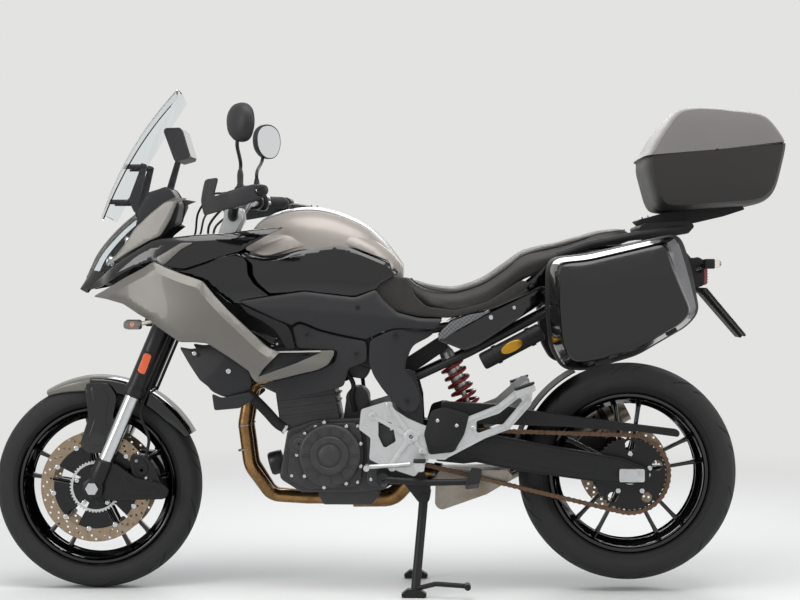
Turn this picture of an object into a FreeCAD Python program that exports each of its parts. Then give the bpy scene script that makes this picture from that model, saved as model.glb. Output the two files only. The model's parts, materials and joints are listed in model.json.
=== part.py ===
import FreeCAD, Part
import math
import os

import Sketcher

# Adventure motorcycle on its centre stand, with two side cases and a top case.
# Millimetres. +Z is up, the front of the machine looks along -X, its left side along -Y.
# The origin lies on the floor under the middle of the machine.

SIZES = {
    # Wheels and where they stand
    "wheelbase": 1540,
    "front_axle_ahead": 838,
    "front_tyre_radius": 300,
    "front_tyre_width": 120,
    "rear_tyre_radius": 315,
    "rear_tyre_width": 180,
    "rear_wheel_lift": 28,
    "rim_seat_radius": 218,
    "rim_flange_height": 13,
    "rim_wall": 6,
    "front_rim_width": 92,
    "rear_rim_width": 142,
    "tyre_wall": 9,
    "spoke_pairs": 5,
    "spoke_width": 13,
    "spoke_depth": 24,
    "front_hub_radius": 42,
    "rear_hub_radius": 52,
    "running_fit": 0.05,
    "seat_gap": 0.3,
    "front_axle_radius": 11,
    "rear_axle_radius": 12.5,
    # Brakes
    "front_disc_radius": 160,
    "front_disc_place": 70,
    "rear_disc_radius": 132,
    "rear_disc_place": 96,
    "disc_thickness": 4.5,
    "disc_ring_width": 34,
    "disc_hole_radius": 3.4,
    # Fork and steering
    "fork_angle": 23,
    "fork_leg_place": 107,
    "clamp_offset": 30,
    "stanchion_radius": 21.5,
    "fork_tube_radius": 27,
    "fork_tube_start": 291,
    "fork_tube_show": 2,
    "lower_clamp_height": 534,
    "upper_clamp_height": 742,
    "clamp_thickness": 28,
    "head_tube_radius": 35,
    "stem_radius": 20,
    "riser_reach": 30.4,
    "riser_height": 106.2,
    "bar_radius": 14,
    "grip_radius": 17,
    "bar_half_width": 430,
    # Chain drive
    "chain_pitch": 15.875,
    "rear_teeth": 44,
    "front_teeth": 16,
    "chain_place": 106,
    "chain_inner_width": 9.4,
    "link_plate": 2.2,
    "link_height": 14,
    "roller_radius": 5.1,
    "sprocket_thickness": 7,
    "front_sprocket_behind": 850,
    "front_sprocket_height": 435,
    # Swingarm and stands
    "pivot_behind": 914,
    "pivot_height": 447,
    "pivot_bolt_radius": 10,
    "arm_inner": 122,
    "arm_outer": 145,
    "stand_pivot_behind": 951,
    "stand_pivot_height": 284,
    "stand_pin_radius": 9,
    "stand_barrel_radius": 15,
    "stand_leg_place": 128,
    "stand_foot_place": 184,
    "stand_tube_radius": 13,
    "stand_foot_ahead": 26,
    "side_stand_place": 184,
    "side_stand_lean": 20,
    "side_stand_pin_radius": 6,
    "subframe_radius": 11,
    "case_stay_radius": 9,
    "side_stand_pivot_behind": 836,
    "side_stand_pivot_height": 334,
    "side_stand_length": 262,
    # Engine and exhaust
    "engine_half_width": 138,
    "cover_depth": 46,
    "left_cover_radius": 90,
    "header_radius": 19,
    "silencer_radius": 55,
    "reservoir_radius": 25,
    # Bodywork
    "panel_wall": 4,
    "guard_wall": 5,
    "tank_half_width": 168,
    "seat_half_width": 128,
    "screen_wall": 4,
    # Luggage
    "case_wall": 4,
    "case_edge": 10,
    "lid_gap": 0.5,
    "pannier_inner_place": 246,
    "pannier_split_place": 338,
    "pannier_outer_place": 430,
    "top_case_half_width": 212,
    "hinge_radius": 6,
    "hinge_pin_radius": 3,
    "hinge_reach": 7,
    "hinge_length": 48,
    "plate_screw_radius": 3.2,
    "plate_screw_spacing": 70,
}

os.makedirs("parts", exist_ok=True)
doc = FreeCAD.newDocument("adventure_motorcycle")
V = FreeCAD.Vector
UP = V(0, 0, 1)
ACROSS = V(0, 1, 0)


def fill_sheet():
    """Write every driving size into the sheet, under its own name."""
    table = doc.addObject("Spreadsheet::Sheet", "sizes")
    for row, (name, value) in enumerate(SIZES.items(), start=1):
        table.set(f"A{row}", name)
        table.set(f"B{row}", str(value))
        table.setAlias(f"B{row}", name)
    doc.recompute()
    return table


sheet = fill_sheet()
sub_parts = []
made = {}


def size(name):
    """One driving size, read back from the sheet."""
    return float(sheet.get(name))


# Places that many sub-parts share
AHEAD = size("front_axle_ahead")
FRONT_AXLE = V(-AHEAD, 0, size("front_tyre_radius"))
REAR_AXLE = V(size("wheelbase") - AHEAD, 0, size("rear_tyre_radius") + size("rear_wheel_lift"))
PIVOT = V(size("pivot_behind") - AHEAD, 0, size("pivot_height"))
STAND_PIVOT = V(size("stand_pivot_behind") - AHEAD, 0, size("stand_pivot_height"))
SIDE_STAND_PIVOT = V(size("side_stand_pivot_behind") - AHEAD, -size("side_stand_place"),
                     size("side_stand_pivot_height"))
SIDE_STAND_TURN = FreeCAD.Rotation(V(1, 0, 0), -size("side_stand_lean"))
SIDE_STAND_AXIS = SIDE_STAND_TURN.multVec(ACROSS)
FORK_TURN = FreeCAD.Rotation(ACROSS, size("fork_angle"))
FORK_BASE = FRONT_AXLE + FORK_TURN.multVec(V(size("clamp_offset"), 0, 0))
FORK_FRAME = FreeCAD.Placement(FORK_BASE, FORK_TURN)
SEAT_GAP = size("seat_gap")


def at(behind, side, height):
    """A point given by its distance behind the front axle, its side and its height."""
    return V(behind - AHEAD, side, height)


def rounded_wire(corners, radius, closed=True):
    """Straight runs between the corners, each joined to the next by a tangent arc."""
    count = len(corners)
    starts = []
    ends = []
    middles = []
    for index, corner in enumerate(corners):
        if not closed and index in (0, count - 1):
            starts.append(corner)
            ends.append(corner)
            middles.append(None)
            continue
        before = corners[index - 1] - corner
        after = corners[(index + 1) % count] - corner
        to_before = V(before).normalize()
        to_after = V(after).normalize()
        half_angle = to_before.getAngle(to_after) / 2
        bend = radius[index] if isinstance(radius, (list, tuple)) else radius
        reach = min(bend / math.tan(half_angle), 0.46 * before.Length, 0.46 * after.Length)
        if math.pi / 2 - half_angle < 0.01 or reach < 0.05:
            starts.append(corner)
            ends.append(corner)
            middles.append(None)
            continue
        inward = (to_before + to_after).normalize()
        arc_radius = reach * math.tan(half_angle)
        starts.append(corner + to_before * reach)
        ends.append(corner + to_after * reach)
        middles.append(corner + inward * (reach / math.cos(half_angle) - arc_radius))
    edges = []
    for index in range(count):
        if middles[index] is not None:
            edges.append(Part.Arc(starts[index], middles[index], ends[index]).toShape())
        if index == count - 1 and not closed:
            break
        following = starts[(index + 1) % count]
        if ends[index].distanceToPoint(following) > 0.01:
            edges.append(Part.makeLine(ends[index], following))
    return Part.Wire(edges)


def side_wire(outline, side, radius):
    """A closed outline in the side view, at one distance from the middle plane."""
    return rounded_wire([at(behind, side, height) for behind, height in outline], radius)


def slab(outline, low_side, high_side, radius=6):
    """A plate with a side-view outline, between two distances from the middle plane."""
    face = Part.Face(side_wire(outline, low_side, radius))
    return face.extrude(V(0, high_side - low_side, 0))


def soft_slab(outline, low_side, high_side, radius, soft):
    """A plate with a side-view outline whose two rims are rounded over."""
    plate = slab(outline, low_side, high_side, radius)
    rims = []
    for edge in plate.Edges:
        side = edge.CenterOfMass.y
        if min(abs(side - low_side), abs(side - high_side)) < 0.01:
            rims.append(edge)
    return plate.makeFillet(soft, rims)


def tube(points, radius, bend):
    """A round tube along straight runs joined by tangent arcs."""
    runs = []
    for edge in rounded_wire(points, bend, closed=False).Edges:
        start = edge.valueAt(edge.FirstParameter)
        end = edge.valueAt(edge.LastParameter)
        if isinstance(edge.Curve, Part.Line):
            runs.append(rod(start, end, radius))
            continue
        curve = edge.Curve
        along = edge.tangentAt(edge.FirstParameter)
        face = Part.Face(Part.Wire(Part.makeCircle(radius, start, along)))
        turn = math.degrees(edge.LastParameter - edge.FirstParameter)
        runs.append(face.revolve(curve.Center, curve.Axis, turn))
    return joined(runs) if len(runs) > 1 else runs[0]


def on_top_of(post, support):
    """The part of a post that stands on a support, with the seat gap under it."""
    return max(post.cut(lowered(support, -SEAT_GAP)).Solids, key=lambda solid: solid.CenterOfMass.z)


def under(post, load):
    """The part of a post below what it carries, with the seat gap over it."""
    return min(post.cut(lowered(load, SEAT_GAP)).Solids, key=lambda solid: solid.CenterOfMass.z)


def rod(start, end, radius):
    """A round bar from one point to another."""
    along = end - start
    return Part.makeCylinder(radius, along.Length, start, along)


def disc_plate(centre, radius, low_side, high_side):
    """A round plate or boss whose axis lies across the machine."""
    start = V(centre.x, low_side, centre.z)
    return Part.makeCylinder(radius, high_side - low_side, start, ACROSS)


def lowered(shape, gap):
    """A copy moved down by a gap, to seat what stands under it."""
    return shape.translated(V(0, 0, -gap))


def widened(shape, gap):
    """A copy moved out to the left by a gap, to seat what lies outside it."""
    return shape.translated(V(0, -gap, 0))


def mirrored(shape):
    """The same piece on the other side of the machine."""
    return shape.mirror(V(0, 0, 0), ACROSS)


def both_sides(shape):
    """A left piece and its right twin, as solids that don't touch."""
    return Part.makeCompound([shape, mirrored(shape)])


def joined(shapes):
    """Pieces that grow into one solid."""
    whole = shapes[0].multiFuse(shapes[1:]).removeSplitter()
    return whole.Solids[0] if len(whole.Solids) == 1 else whole


def skin_between(low_curve, high_curve):
    """The ruled surface between two smooth curves through the given points."""
    low_edge = Part.BSplineCurve()
    low_edge.interpolate([at(*point) for point in low_curve])
    high_edge = Part.BSplineCurve()
    high_edge.interpolate([at(*point) for point in high_curve])
    return Part.makeRuledSurface(low_edge.toShape(), high_edge.toShape())


def panel(outline, low_curve, high_curve, wall, radius=10):
    """A curved cover: a ruled skin between two long curves, as thick as its wall.

    The side-view outline trims the skin. Curves run along the machine as (behind, side, height).
    """
    thick = skin_between(low_curve, high_curve).extrude(V(0, wall, 0))
    deepest = min(point[1] for point in low_curve + high_curve)
    trim = slab(outline, deepest - wall, wall, radius)
    return thick.common(trim)


def outboard_room(curves, wall):
    """All the space outside a left cover's inner face, less the seat gap."""
    low, high = curves
    return skin_between(low, high).translated(V(0, wall + SEAT_GAP, 0)).extrude(V(0, -150, 0))


def peg(curves, behind, height, end, radius, target):
    """A boss on a left cover's inner face that ends on the piece that carries the cover."""
    low, high = curves
    shaft = disc_plate(at(behind, 0, height), radius, -320, end)
    inside = skin_between(low, high).translated(V(0, 1, 0)).extrude(V(0, 250, 0))
    trimmed = shaft.common(inside).cut(widened(target, SEAT_GAP))
    return min(trimmed.Solids, key=lambda solid: solid.CenterOfMass.y)


def section_loft(sections, ruled=False):
    """A closed body through cross-sections, each a list of points round the section."""
    wires = []
    for points in sections:
        curve = Part.BSplineCurve()
        curve.interpolate(points, PeriodicFlag=True)
        wires.append(Part.Wire(curve.toShape()))
    return Part.makeLoft(wires, True, ruled)


def cross_section(behind, half_width, top, bottom, shoulder=0.78, belly=0.85):
    """Points round a body's section at one place along the machine, wider at the middle."""
    middle = (top + bottom) / 2
    rise = (top - bottom) / 2
    right = [(0.0, 1.0), (0.55, 0.93), (shoulder, 0.62), (1.0, 0.0), (belly, -0.7), (0.45, -1.0)]
    left = [(-across, up) for across, up in reversed(right[1:])]
    ring = [(0.0, -1.02)] + left + right
    return [at(behind, half_width * across, middle + rise * up) for across, up in ring]


def keep(label, shape):
    """One sub-part whose form the functions above work out from the sheet."""
    part = doc.addObject("Part::Feature", label)
    part.Shape = shape
    part.Label = label
    sub_parts.append(part)
    made[label] = shape
    return part


# Bodies made from sketches

def plane_of(body, role):
    """One of a body's own origin planes or axes."""
    for feature in body.Origin.OriginFeatures:
        if feature.Role == role:
            return feature
    raise ValueError(role)


def new_body(label, listed=True):
    """An empty body for one sub-part."""
    body = doc.addObject("PartDesign::Body", label)
    body.Label = label
    body.AllowCompound = True
    if listed:
        sub_parts.append(body)
    return body


def sketch_polygon(body, name, role, corners):
    """A closed sketch whose corners are bound to the sheet by their expressions."""
    sketch = body.newObject("Sketcher::SketchObject", name)
    sketch.AttachmentSupport = (plane_of(body, role), [""])
    sketch.MapMode = "FlatFace"
    add_polygon(sketch, corners)
    return sketch


def add_polygon(sketch, corners):
    """Lines from corner to corner, each corner held by two bound distances."""
    first = sketch.GeometryCount
    places = [V(evaluate(across), evaluate(up), 0) for across, up in corners]
    count = len(corners)
    for index in range(count):
        line = Part.LineSegment(places[index], places[(index + 1) % count])
        sketch.addGeometry(line, False)
    for index in range(count):
        following = first + (index + 1) % count
        sketch.addConstraint(Sketcher.Constraint("Coincident", first + index, 2, following, 1))
    for index, (across, up) in enumerate(corners):
        geometry = first + index
        for kind, text, value in (("DistanceX", across, places[index].x), ("DistanceY", up, places[index].y)):
            number = sketch.addConstraint(Sketcher.Constraint(kind, -1, 1, geometry, 1, value))
            sketch.setExpression(f"Constraints[{number}]", text)


def add_circle(sketch, across, up, radius):
    """A circle whose centre and radius are bound to the sheet."""
    centre = V(evaluate(across), evaluate(up), 0)
    geometry = sketch.addGeometry(Part.Circle(centre, UP, evaluate(radius)), False)
    for kind, text, value in (("DistanceX", across, centre.x), ("DistanceY", up, centre.y)):
        number = sketch.addConstraint(Sketcher.Constraint(kind, -1, 1, geometry, 3, value))
        sketch.setExpression(f"Constraints[{number}]", text)
    number = sketch.addConstraint(Sketcher.Constraint("Radius", geometry, evaluate(radius)))
    sketch.setExpression(f"Constraints[{number}]", radius)


def evaluate(text):
    """The number that an expression gives with the present sizes."""
    return float(sheet.evalExpression(text.replace("sizes.", "")))


def revolve_sketch(body, sketch, name):
    """Turn a half section about the axis across the machine."""
    feature = body.newObject("PartDesign::Revolution", name)
    feature.Profile = sketch
    feature.ReferenceAxis = (sketch, ["V_Axis"])
    feature.Angle = 360
    sketch.Visibility = False
    return feature


def pad_both_ways(body, sketch, name, length):
    """Pad a side-view sketch evenly to both sides."""
    feature = body.newObject("PartDesign::Pad", name)
    feature.Profile = sketch
    feature.SideType = "Symmetric"
    feature.setExpression("Length", length)
    return feature


def repeat_round(body, feature, name, count):
    """Repeat a feature evenly about the axis across the machine."""
    pattern = body.newObject("PartDesign::PolarPattern", name)
    pattern.Originals = [feature]
    pattern.Axis = (plane_of(body, "Y_Axis"), [""])
    pattern.Angle = 360
    pattern.setExpression("Occurrences", count)
    body.Tip = pattern
    return pattern


# Wheels

def make_tyre(label, end, axle):
    """A road tyre: round crown, bulged sidewalls and beads between the rim's flanges."""
    body = new_body(label)
    tyre = f"sizes.{end}_tyre_radius"
    half = f"sizes.{end}_tyre_width / 2"
    bead = f"(sizes.{end}_rim_width / 2 - sizes.seat_gap)"
    seat = "(sizes.rim_seat_radius + sizes.seat_gap)"
    flange = "(sizes.rim_seat_radius + sizes.rim_flange_height + 2)"
    height = f"({tyre} - sizes.rim_seat_radius)"
    wall = "sizes.tyre_wall"
    right = [
        (f"{seat}", f"{bead} - 14"),
        (f"{seat}", f"{bead}"),
        (f"{flange}", f"{bead}"),
        (f"{tyre} - 0.62 * {height}", f"{half} * 0.97"),
        (f"{tyre} - 0.45 * {height}", f"{half}"),
        (f"{tyre} - 0.25 * {height}", f"{half} * 0.93"),
        (f"{tyre} - 0.10 * {height}", f"{half} * 0.68"),
        (f"{tyre} - 0.022 * {height}", f"{half} * 0.34"),
    ]
    inner = [
        (f"{tyre} - {wall}", f"{half} * 0.2"),
        (f"{tyre} - 0.2 * {height} - {wall}", f"{half} * 0.72"),
        (f"{tyre} - 0.45 * {height}", f"{half} - {wall}"),
    ]
    left = [(across, f"-({up})") for across, up in reversed(right)]
    inner_left = [(across, f"-({up})") for across, up in inner]
    outline = right + [(tyre, "0.01")] + left + list(reversed(inner_left)) + inner
    sketch = sketch_polygon(body, f"{label}_section", "XY_Plane", outline)
    revolve_sketch(body, sketch, f"{label}_turned")
    body.Placement.Base = axle


def make_rim(label, end, axle, hub_half_length, axle_name):
    """A cast wheel: a dropped-centre rim, a bored hub and pairs of slim spokes."""
    body = new_body(label)
    half = f"(sizes.{end}_rim_width / 2)"
    seat = "sizes.rim_seat_radius"
    flange = "(sizes.rim_seat_radius + sizes.rim_flange_height)"
    wall = "sizes.rim_wall"
    well = f"({seat} - 15)"
    right = [
        (flange, f"{half} + {wall}"),
        (flange, half),
        (seat, half),
        (seat, f"{half} * 0.62"),
        (well, f"{half} * 0.36"),
    ]
    under = [
        (f"{well} - {wall}", f"{half} * 0.36"),
        (f"{seat} - {wall} - 2", f"{half} * 0.66"),
        (f"{seat} - {wall}", f"{half} + {wall}"),
    ]
    left = [(across, f"-({up})") for across, up in reversed(right)]
    under_left = [(across, f"-({up})") for across, up in under]
    outline = right + left + list(reversed(under_left)) + under
    rim = sketch_polygon(body, f"{label}_rim_section", "XY_Plane", outline)
    revolve_sketch(body, rim, f"{label}_rim")
    hub_radius = f"sizes.{end}_hub_radius"
    bore = f"(sizes.{axle_name} + sizes.running_fit)"
    hub = [
        (bore, f"-({hub_half_length})"),
        (hub_radius, f"-({hub_half_length})"),
        (hub_radius, hub_half_length),
        (bore, hub_half_length),
    ]
    hub_sketch = sketch_polygon(body, f"{label}_hub_section", "XY_Plane", hub)
    revolve_sketch(body, hub_sketch, f"{label}_hub")
    root = f"({hub_radius} - 4)"
    tip = f"({well} - {wall} + 2)"
    half_bar = "sizes.spoke_width / 2"
    pair = body.newObject("Sketcher::SketchObject", f"{label}_spoke_pair")
    pair.AttachmentSupport = (plane_of(body, "XZ_Plane"), [""])
    pair.MapMode = "FlatFace"
    for turn in (-1, 1):
        near = f"{turn} * 12"
        far = f"{turn} * 36"
        add_polygon(pair, [
            (f"{near} - {half_bar} * 1.2", root),
            (f"{near} + {half_bar} * 1.2", root),
            (f"{far} + {half_bar}", tip),
            (f"{far} - {half_bar}", tip),
        ])
    spokes = pad_both_ways(body, pair, f"{label}_spokes", "sizes.spoke_depth")
    repeat_round(body, spokes, f"{label}_spoke_ring", "sizes.spoke_pairs")
    body.Placement.Base = axle


def make_disc(name, radius, place, hub, axle, windows):
    """A brake disc: a friction ring on a carrier with open windows."""
    half = f"(sizes.disc_thickness / 2)"
    body = new_body(name, listed=False)
    bore = f"(sizes.{hub} - 12)"
    section = [
        (bore, f"-{half}"),
        (f"sizes.{radius}", f"-{half}"),
        (f"sizes.{radius}", half),
        (bore, half),
    ]
    sketch = sketch_polygon(body, f"{name}_section", "XY_Plane", section)
    revolve_sketch(body, sketch, f"{name}_ring")
    low = f"(sizes.{hub} + 8)"
    high = f"(sizes.{radius} - sizes.disc_ring_width)"
    window = [
        ("-12", low),
        ("12", low),
        ("24", high),
        ("-24", high),
    ]
    cut_sketch = sketch_polygon(body, f"{name}_window", "XZ_Plane", window)
    pocket = body.newObject("PartDesign::Pocket", f"{name}_cut")
    pocket.Profile = cut_sketch
    pocket.SideType = "Symmetric"
    pocket.setExpression("Length", "4 * sizes.disc_thickness")
    repeat_round(body, pocket, f"{name}_windows", str(windows))
    holes = body.newObject("Sketcher::SketchObject", f"{name}_holes")
    holes.AttachmentSupport = (plane_of(body, "XZ_Plane"), [""])
    holes.MapMode = "FlatFace"
    for turn, share in ((0, 0.2), (5, 0.5), (10, 0.8)):
        reach = f"(sizes.{radius} - {share} * sizes.disc_ring_width)"
        add_circle(holes, f"{reach} * sin({turn} deg)", f"{reach} * cos({turn} deg)", "sizes.disc_hole_radius")
    drilled = body.newObject("PartDesign::Pocket", f"{name}_drilled")
    drilled.Profile = holes
    drilled.SideType = "Symmetric"
    drilled.setExpression("Length", "4 * sizes.disc_thickness")
    repeat_round(body, drilled, f"{name}_hole_ring", "24")
    body.Placement.Base = axle + V(0, place, 0)
    return body


def make_wheels():
    make_tyre("front_tyre", "front", FRONT_AXLE)
    make_tyre("rear_tyre", "rear", REAR_AXLE)
    front_hub = "(sizes.front_disc_place - sizes.disc_thickness / 2 - sizes.seat_gap)"
    rear_hub = "(sizes.rear_disc_place - sizes.disc_thickness / 2 - sizes.seat_gap)"
    make_rim("front_rim", "front", FRONT_AXLE, front_hub, "front_axle_radius")
    make_rim("rear_rim", "rear", REAR_AXLE, rear_hub, "rear_axle_radius")
    place = size("front_disc_place")
    left = make_disc("front_disc_left", "front_disc_radius", -place, "front_hub_radius", FRONT_AXLE, 5)
    right = make_disc("front_disc_right", "front_disc_radius", place, "front_hub_radius", FRONT_AXLE, 5)
    pair = doc.addObject("Part::Compound", "front_discs")
    pair.Links = [left, right]
    pair.Label = "front_discs"
    sub_parts.append(pair)
    rear = make_disc("rear_disc", "rear_disc_radius", size("rear_disc_place"), "rear_hub_radius", REAR_AXLE, 5)
    sub_parts.append(rear)


def make_axles():
    """The two wheel axles, with their nuts outside the fork feet and the swingarm."""
    for label, centre, radius, half in (
        ("front_axle", FRONT_AXLE, "front_axle_radius", size("fork_leg_place") + size("stanchion_radius") + 6),
        ("rear_axle", REAR_AXLE, "rear_axle_radius", size("arm_outer") + 6),
    ):
        shaft = doc.addObject("Part::Cylinder", f"{label}_shaft")
        shaft.setExpression("Radius", f"sizes.{radius}")
        shaft.Height = 2 * half
        shaft.Placement = FreeCAD.Placement(centre - ACROSS * half, FreeCAD.Rotation(UP, ACROSS))
        nuts = []
        for side in (-1, 1):
            nut = doc.addObject("Part::Prism", f"{label}_nut_{'left' if side < 0 else 'right'}")
            nut.Polygon = 6
            nut.setExpression("Circumradius", f"sizes.{radius} * 1.7")
            nut.Height = 9
            start = centre + ACROSS * (side * half)
            nut.Placement = FreeCAD.Placement(start, FreeCAD.Rotation(UP, ACROSS * side))
            nuts.append(nut)
        whole = doc.addObject("Part::MultiFuse", label)
        whole.Shapes = [shaft] + nuts
        whole.Label = label
        sub_parts.append(whole)


# Chain drive

def pitch_radius(teeth):
    """Radius of the circle on which a sprocket holds the rollers."""
    return size("chain_pitch") / (2 * math.sin(math.pi / teeth))


def chain_centre():
    """Centres and radii of the two circles that the chain runs round."""
    front = at(size("front_sprocket_behind"), 0, size("front_sprocket_height"))
    return front, pitch_radius(size("front_teeth")), REAR_AXLE, pitch_radius(size("rear_teeth"))


def chain_loop(offset, side):
    """The closed line of the chain, moved out or in by an offset, at one side place."""
    front, front_radius, rear, rear_radius = chain_centre()
    front_radius += offset
    rear_radius += offset
    span = rear - front
    distance = math.hypot(span.x, span.z)
    slope = math.atan2(span.z, span.x)
    lean = math.asin((rear_radius - front_radius) / distance)
    upper = slope + math.pi / 2 + lean
    lower = slope - math.pi / 2 - lean

    def on_circle(centre, radius, angle):
        return V(centre.x + radius * math.cos(angle), side, centre.z + radius * math.sin(angle))

    upper_run = (on_circle(front, front_radius, upper), on_circle(rear, rear_radius, upper))
    lower_run = (on_circle(rear, rear_radius, lower), on_circle(front, front_radius, lower))
    rear_arc = Part.Arc(upper_run[1], on_circle(rear, rear_radius, slope), lower_run[0])
    front_arc = Part.Arc(lower_run[1], on_circle(front, front_radius, slope + math.pi), upper_run[0])
    return Part.Wire([
        Part.makeLine(*upper_run),
        rear_arc.toShape(),
        Part.makeLine(*lower_run),
        front_arc.toShape(),
    ])


def link_band(side, thickness):
    """One row of link plates round the whole chain."""
    half = size("link_height") / 2
    outer = Part.Face(chain_loop(half, side)).extrude(V(0, thickness, 0))
    inner = Part.Face(chain_loop(-half, side)).extrude(V(0, thickness, 0))
    return outer.cut(inner)


def make_chain():
    """The drive chain: two rows of link plates and a roller in each link."""
    place = -size("chain_place")
    half_inner = size("chain_inner_width") / 2
    plate = size("link_plate")
    bands = [
        link_band(place - half_inner - plate, plate),
        link_band(place + half_inner, plate),
    ]
    line = chain_loop(0, place)
    links = round(line.Length / size("chain_pitch"))
    rollers = []
    for centre in line.discretize(Number=links + 1)[:-1]:
        prism = roller_prism(centre, size("roller_radius"), half_inner + plate / 2)
        rollers.append(prism)
    keep("chain", bands[0].multiFuse([bands[1]] + rollers))


def roller_prism(centre, radius, half_length):
    """A six-sided roller across the chain."""
    corners = []
    for step in range(7):
        angle = math.radians(60 * step)
        corners.append(V(centre.x + radius * math.cos(angle), centre.y - half_length,
                         centre.z + radius * math.sin(angle)))
    return Part.Face(Part.makePolygon(corners)).extrude(V(0, 2 * half_length, 0))


def toothed_plate(centre, teeth, side, thickness, bore):
    """A sprocket plate whose teeth reach just under the rollers."""
    tip = pitch_radius(teeth) - size("roller_radius") - SEAT_GAP
    root = tip - 5
    corners = []
    for tooth in range(int(teeth)):
        for share, reach in ((0.0, root), (0.28, tip), (0.5, tip), (0.78, root)):
            angle = 2 * math.pi * (tooth + share) / teeth
            corners.append(V(centre.x + reach * math.cos(angle), side, centre.z + reach * math.sin(angle)))
    corners.append(corners[0])
    plate = Part.Face(Part.makePolygon(corners)).extrude(V(0, thickness, 0))
    return plate.cut(Part.makeCylinder(bore, thickness, V(centre.x, side, centre.z), ACROSS))


def make_rear_sprocket():
    """The wheel's sprocket, lightened by round holes, on its carrier beside the hub."""
    thickness = size("sprocket_thickness")
    side = -size("chain_place") - thickness / 2
    bore = size("rear_axle_radius") + 4
    plate = toothed_plate(REAR_AXLE, size("rear_teeth"), side, thickness, bore)
    for step in range(5):
        angle = math.radians(72 * step + 18)
        centre = REAR_AXLE + V(82 * math.cos(angle), 0, 82 * math.sin(angle))
        plate = plate.cut(disc_plate(centre, 15, side - 1, side + thickness + 1))
    hub_end = size("rear_disc_place") - size("disc_thickness") / 2 - SEAT_GAP
    carrier = disc_plate(REAR_AXLE, 62, side + thickness / 2, -hub_end - SEAT_GAP)
    carrier = carrier.cut(disc_plate(REAR_AXLE, bore, side, 0))
    keep("rear_sprocket", joined([plate, carrier]))


# Fork and steering

def fork_point(back, side, along):
    """A point in the fork's own frame: behind the stem, to the side, up along the legs."""
    return FORK_FRAME.multVec(V(back, side, along))


def leg_rod(radius, low, high, side):
    """A round piece on one fork leg's own line."""
    back = -size("clamp_offset")
    return rod(fork_point(back, side, low), fork_point(back, side, high), radius)


def make_fork():
    leg = size("fork_leg_place")
    stanchion = size("stanchion_radius")
    outer = size("fork_tube_radius")
    start = size("fork_tube_start")
    end = size("upper_clamp_height") + size("clamp_thickness") + size("fork_tube_show")
    axle_fit = size("front_axle_radius") + size("running_fit")
    lower = []
    for side in (-leg, leg):
        foot = disc_plate(FRONT_AXLE, 30, side - 22, side + 22)
        tube_leg = leg_rod(stanchion, 0, start + 150, side)
        shank = leg_rod(stanchion + 5, 0, 84, side)
        lug = slab([(26, 270), (60, 262), (206, 268), (216, 300), (196, 314), (120, 330), (60, 372), (28, 372)],
                   side - 8, side + 8, 10)
        whole = joined([foot, tube_leg, shank, lug])
        lower.append(whole.cut(disc_plate(FRONT_AXLE, axle_fit, side - 40, side + 40)))
    keep("fork_stanchions", Part.makeCompound(lower))
    tubes = []
    for side in (-leg, leg):
        body = leg_rod(outer, start + 18, end, side)
        guard = leg_rod(outer + 3, start, start + 26, side)
        bore = leg_rod(stanchion + SEAT_GAP, start - 5, start + 160, side)
        cap = leg_rod(outer - 7, end - 2, end + 6, side)
        tubes.append(joined([body, guard, cap]).cut(bore))
    keep("fork_tubes", Part.makeCompound(tubes))


def clamp_plate(height, rear_reach):
    """One of the two yokes that hold both legs to the stem."""
    leg = size("fork_leg_place")
    back = -size("clamp_offset")
    outer = size("fork_tube_radius")
    thickness = size("clamp_thickness")
    corners = [
        V(back - 32, -leg - 30, height), V(back + 32, -leg - 30, height),
        V(rear_reach, -34, height), V(rear_reach, 34, height),
        V(back + 32, leg + 30, height), V(back - 32, leg + 30, height),
        V(back - 8, 0, height),
    ]
    face = Part.Face(rounded_wire(corners, [24, 24, 16, 16, 24, 24, 60]))
    plate = face.extrude(V(0, 0, thickness))
    for side in (-leg, leg):
        hole = Part.makeCylinder(outer + SEAT_GAP, thickness + 2, V(back, side, height - 1), UP)
        plate = plate.cut(hole)
    return plate


def make_clamps():
    low = size("lower_clamp_height")
    high = size("upper_clamp_height")
    stem = Part.makeCylinder(size("stem_radius"), high - low + 20, V(0, 0, low + 4), UP)
    lower = clamp_plate(low, 40)
    upper = clamp_plate(high, 44)
    yokes = joined([lower, upper, stem])
    yokes.Placement = FORK_FRAME
    keep("fork_clamps", yokes)


def bar_line():
    """Points of the handlebar from its middle over the upper yoke to the left end."""
    top = size("upper_clamp_height") + size("clamp_thickness")
    middle = fork_point(size("riser_reach"), 0, top + size("riser_height"))
    return [
        middle, middle + V(0, -70, 0), middle + V(20, -190, 51), middle + V(111, -size("bar_half_width"), 57),
    ]


def make_handlebar():
    """The tapered bar in its two risers on the upper yoke."""
    middle, shoulder, bend, end = bar_line()
    left = tube([middle, shoulder, bend, end], size("bar_radius"), 70)
    bar = joined([left, mirrored(left)])
    top = size("upper_clamp_height") + size("clamp_thickness")
    risers = []
    for side in (-46, 46):
        corners = [fork_point(12, side - 17, top + SEAT_GAP), fork_point(50, side - 17, top + SEAT_GAP)]
        for along, rise in ((26, -7), (22, 21), (-2, 29), (-25, 17), (-28, -7)):
            corners.append(middle + V(along, side - 17, rise))
        risers.append(Part.Face(rounded_wire(corners, 9)).extrude(V(0, 34, 0)))
    keep("handlebar", joined([bar] + risers))


def along_bar(share):
    """A point on the straight outer stretch of the left half of the bar."""
    bend, end = bar_line()[2:]
    return bend + (end - bend) * share


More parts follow.
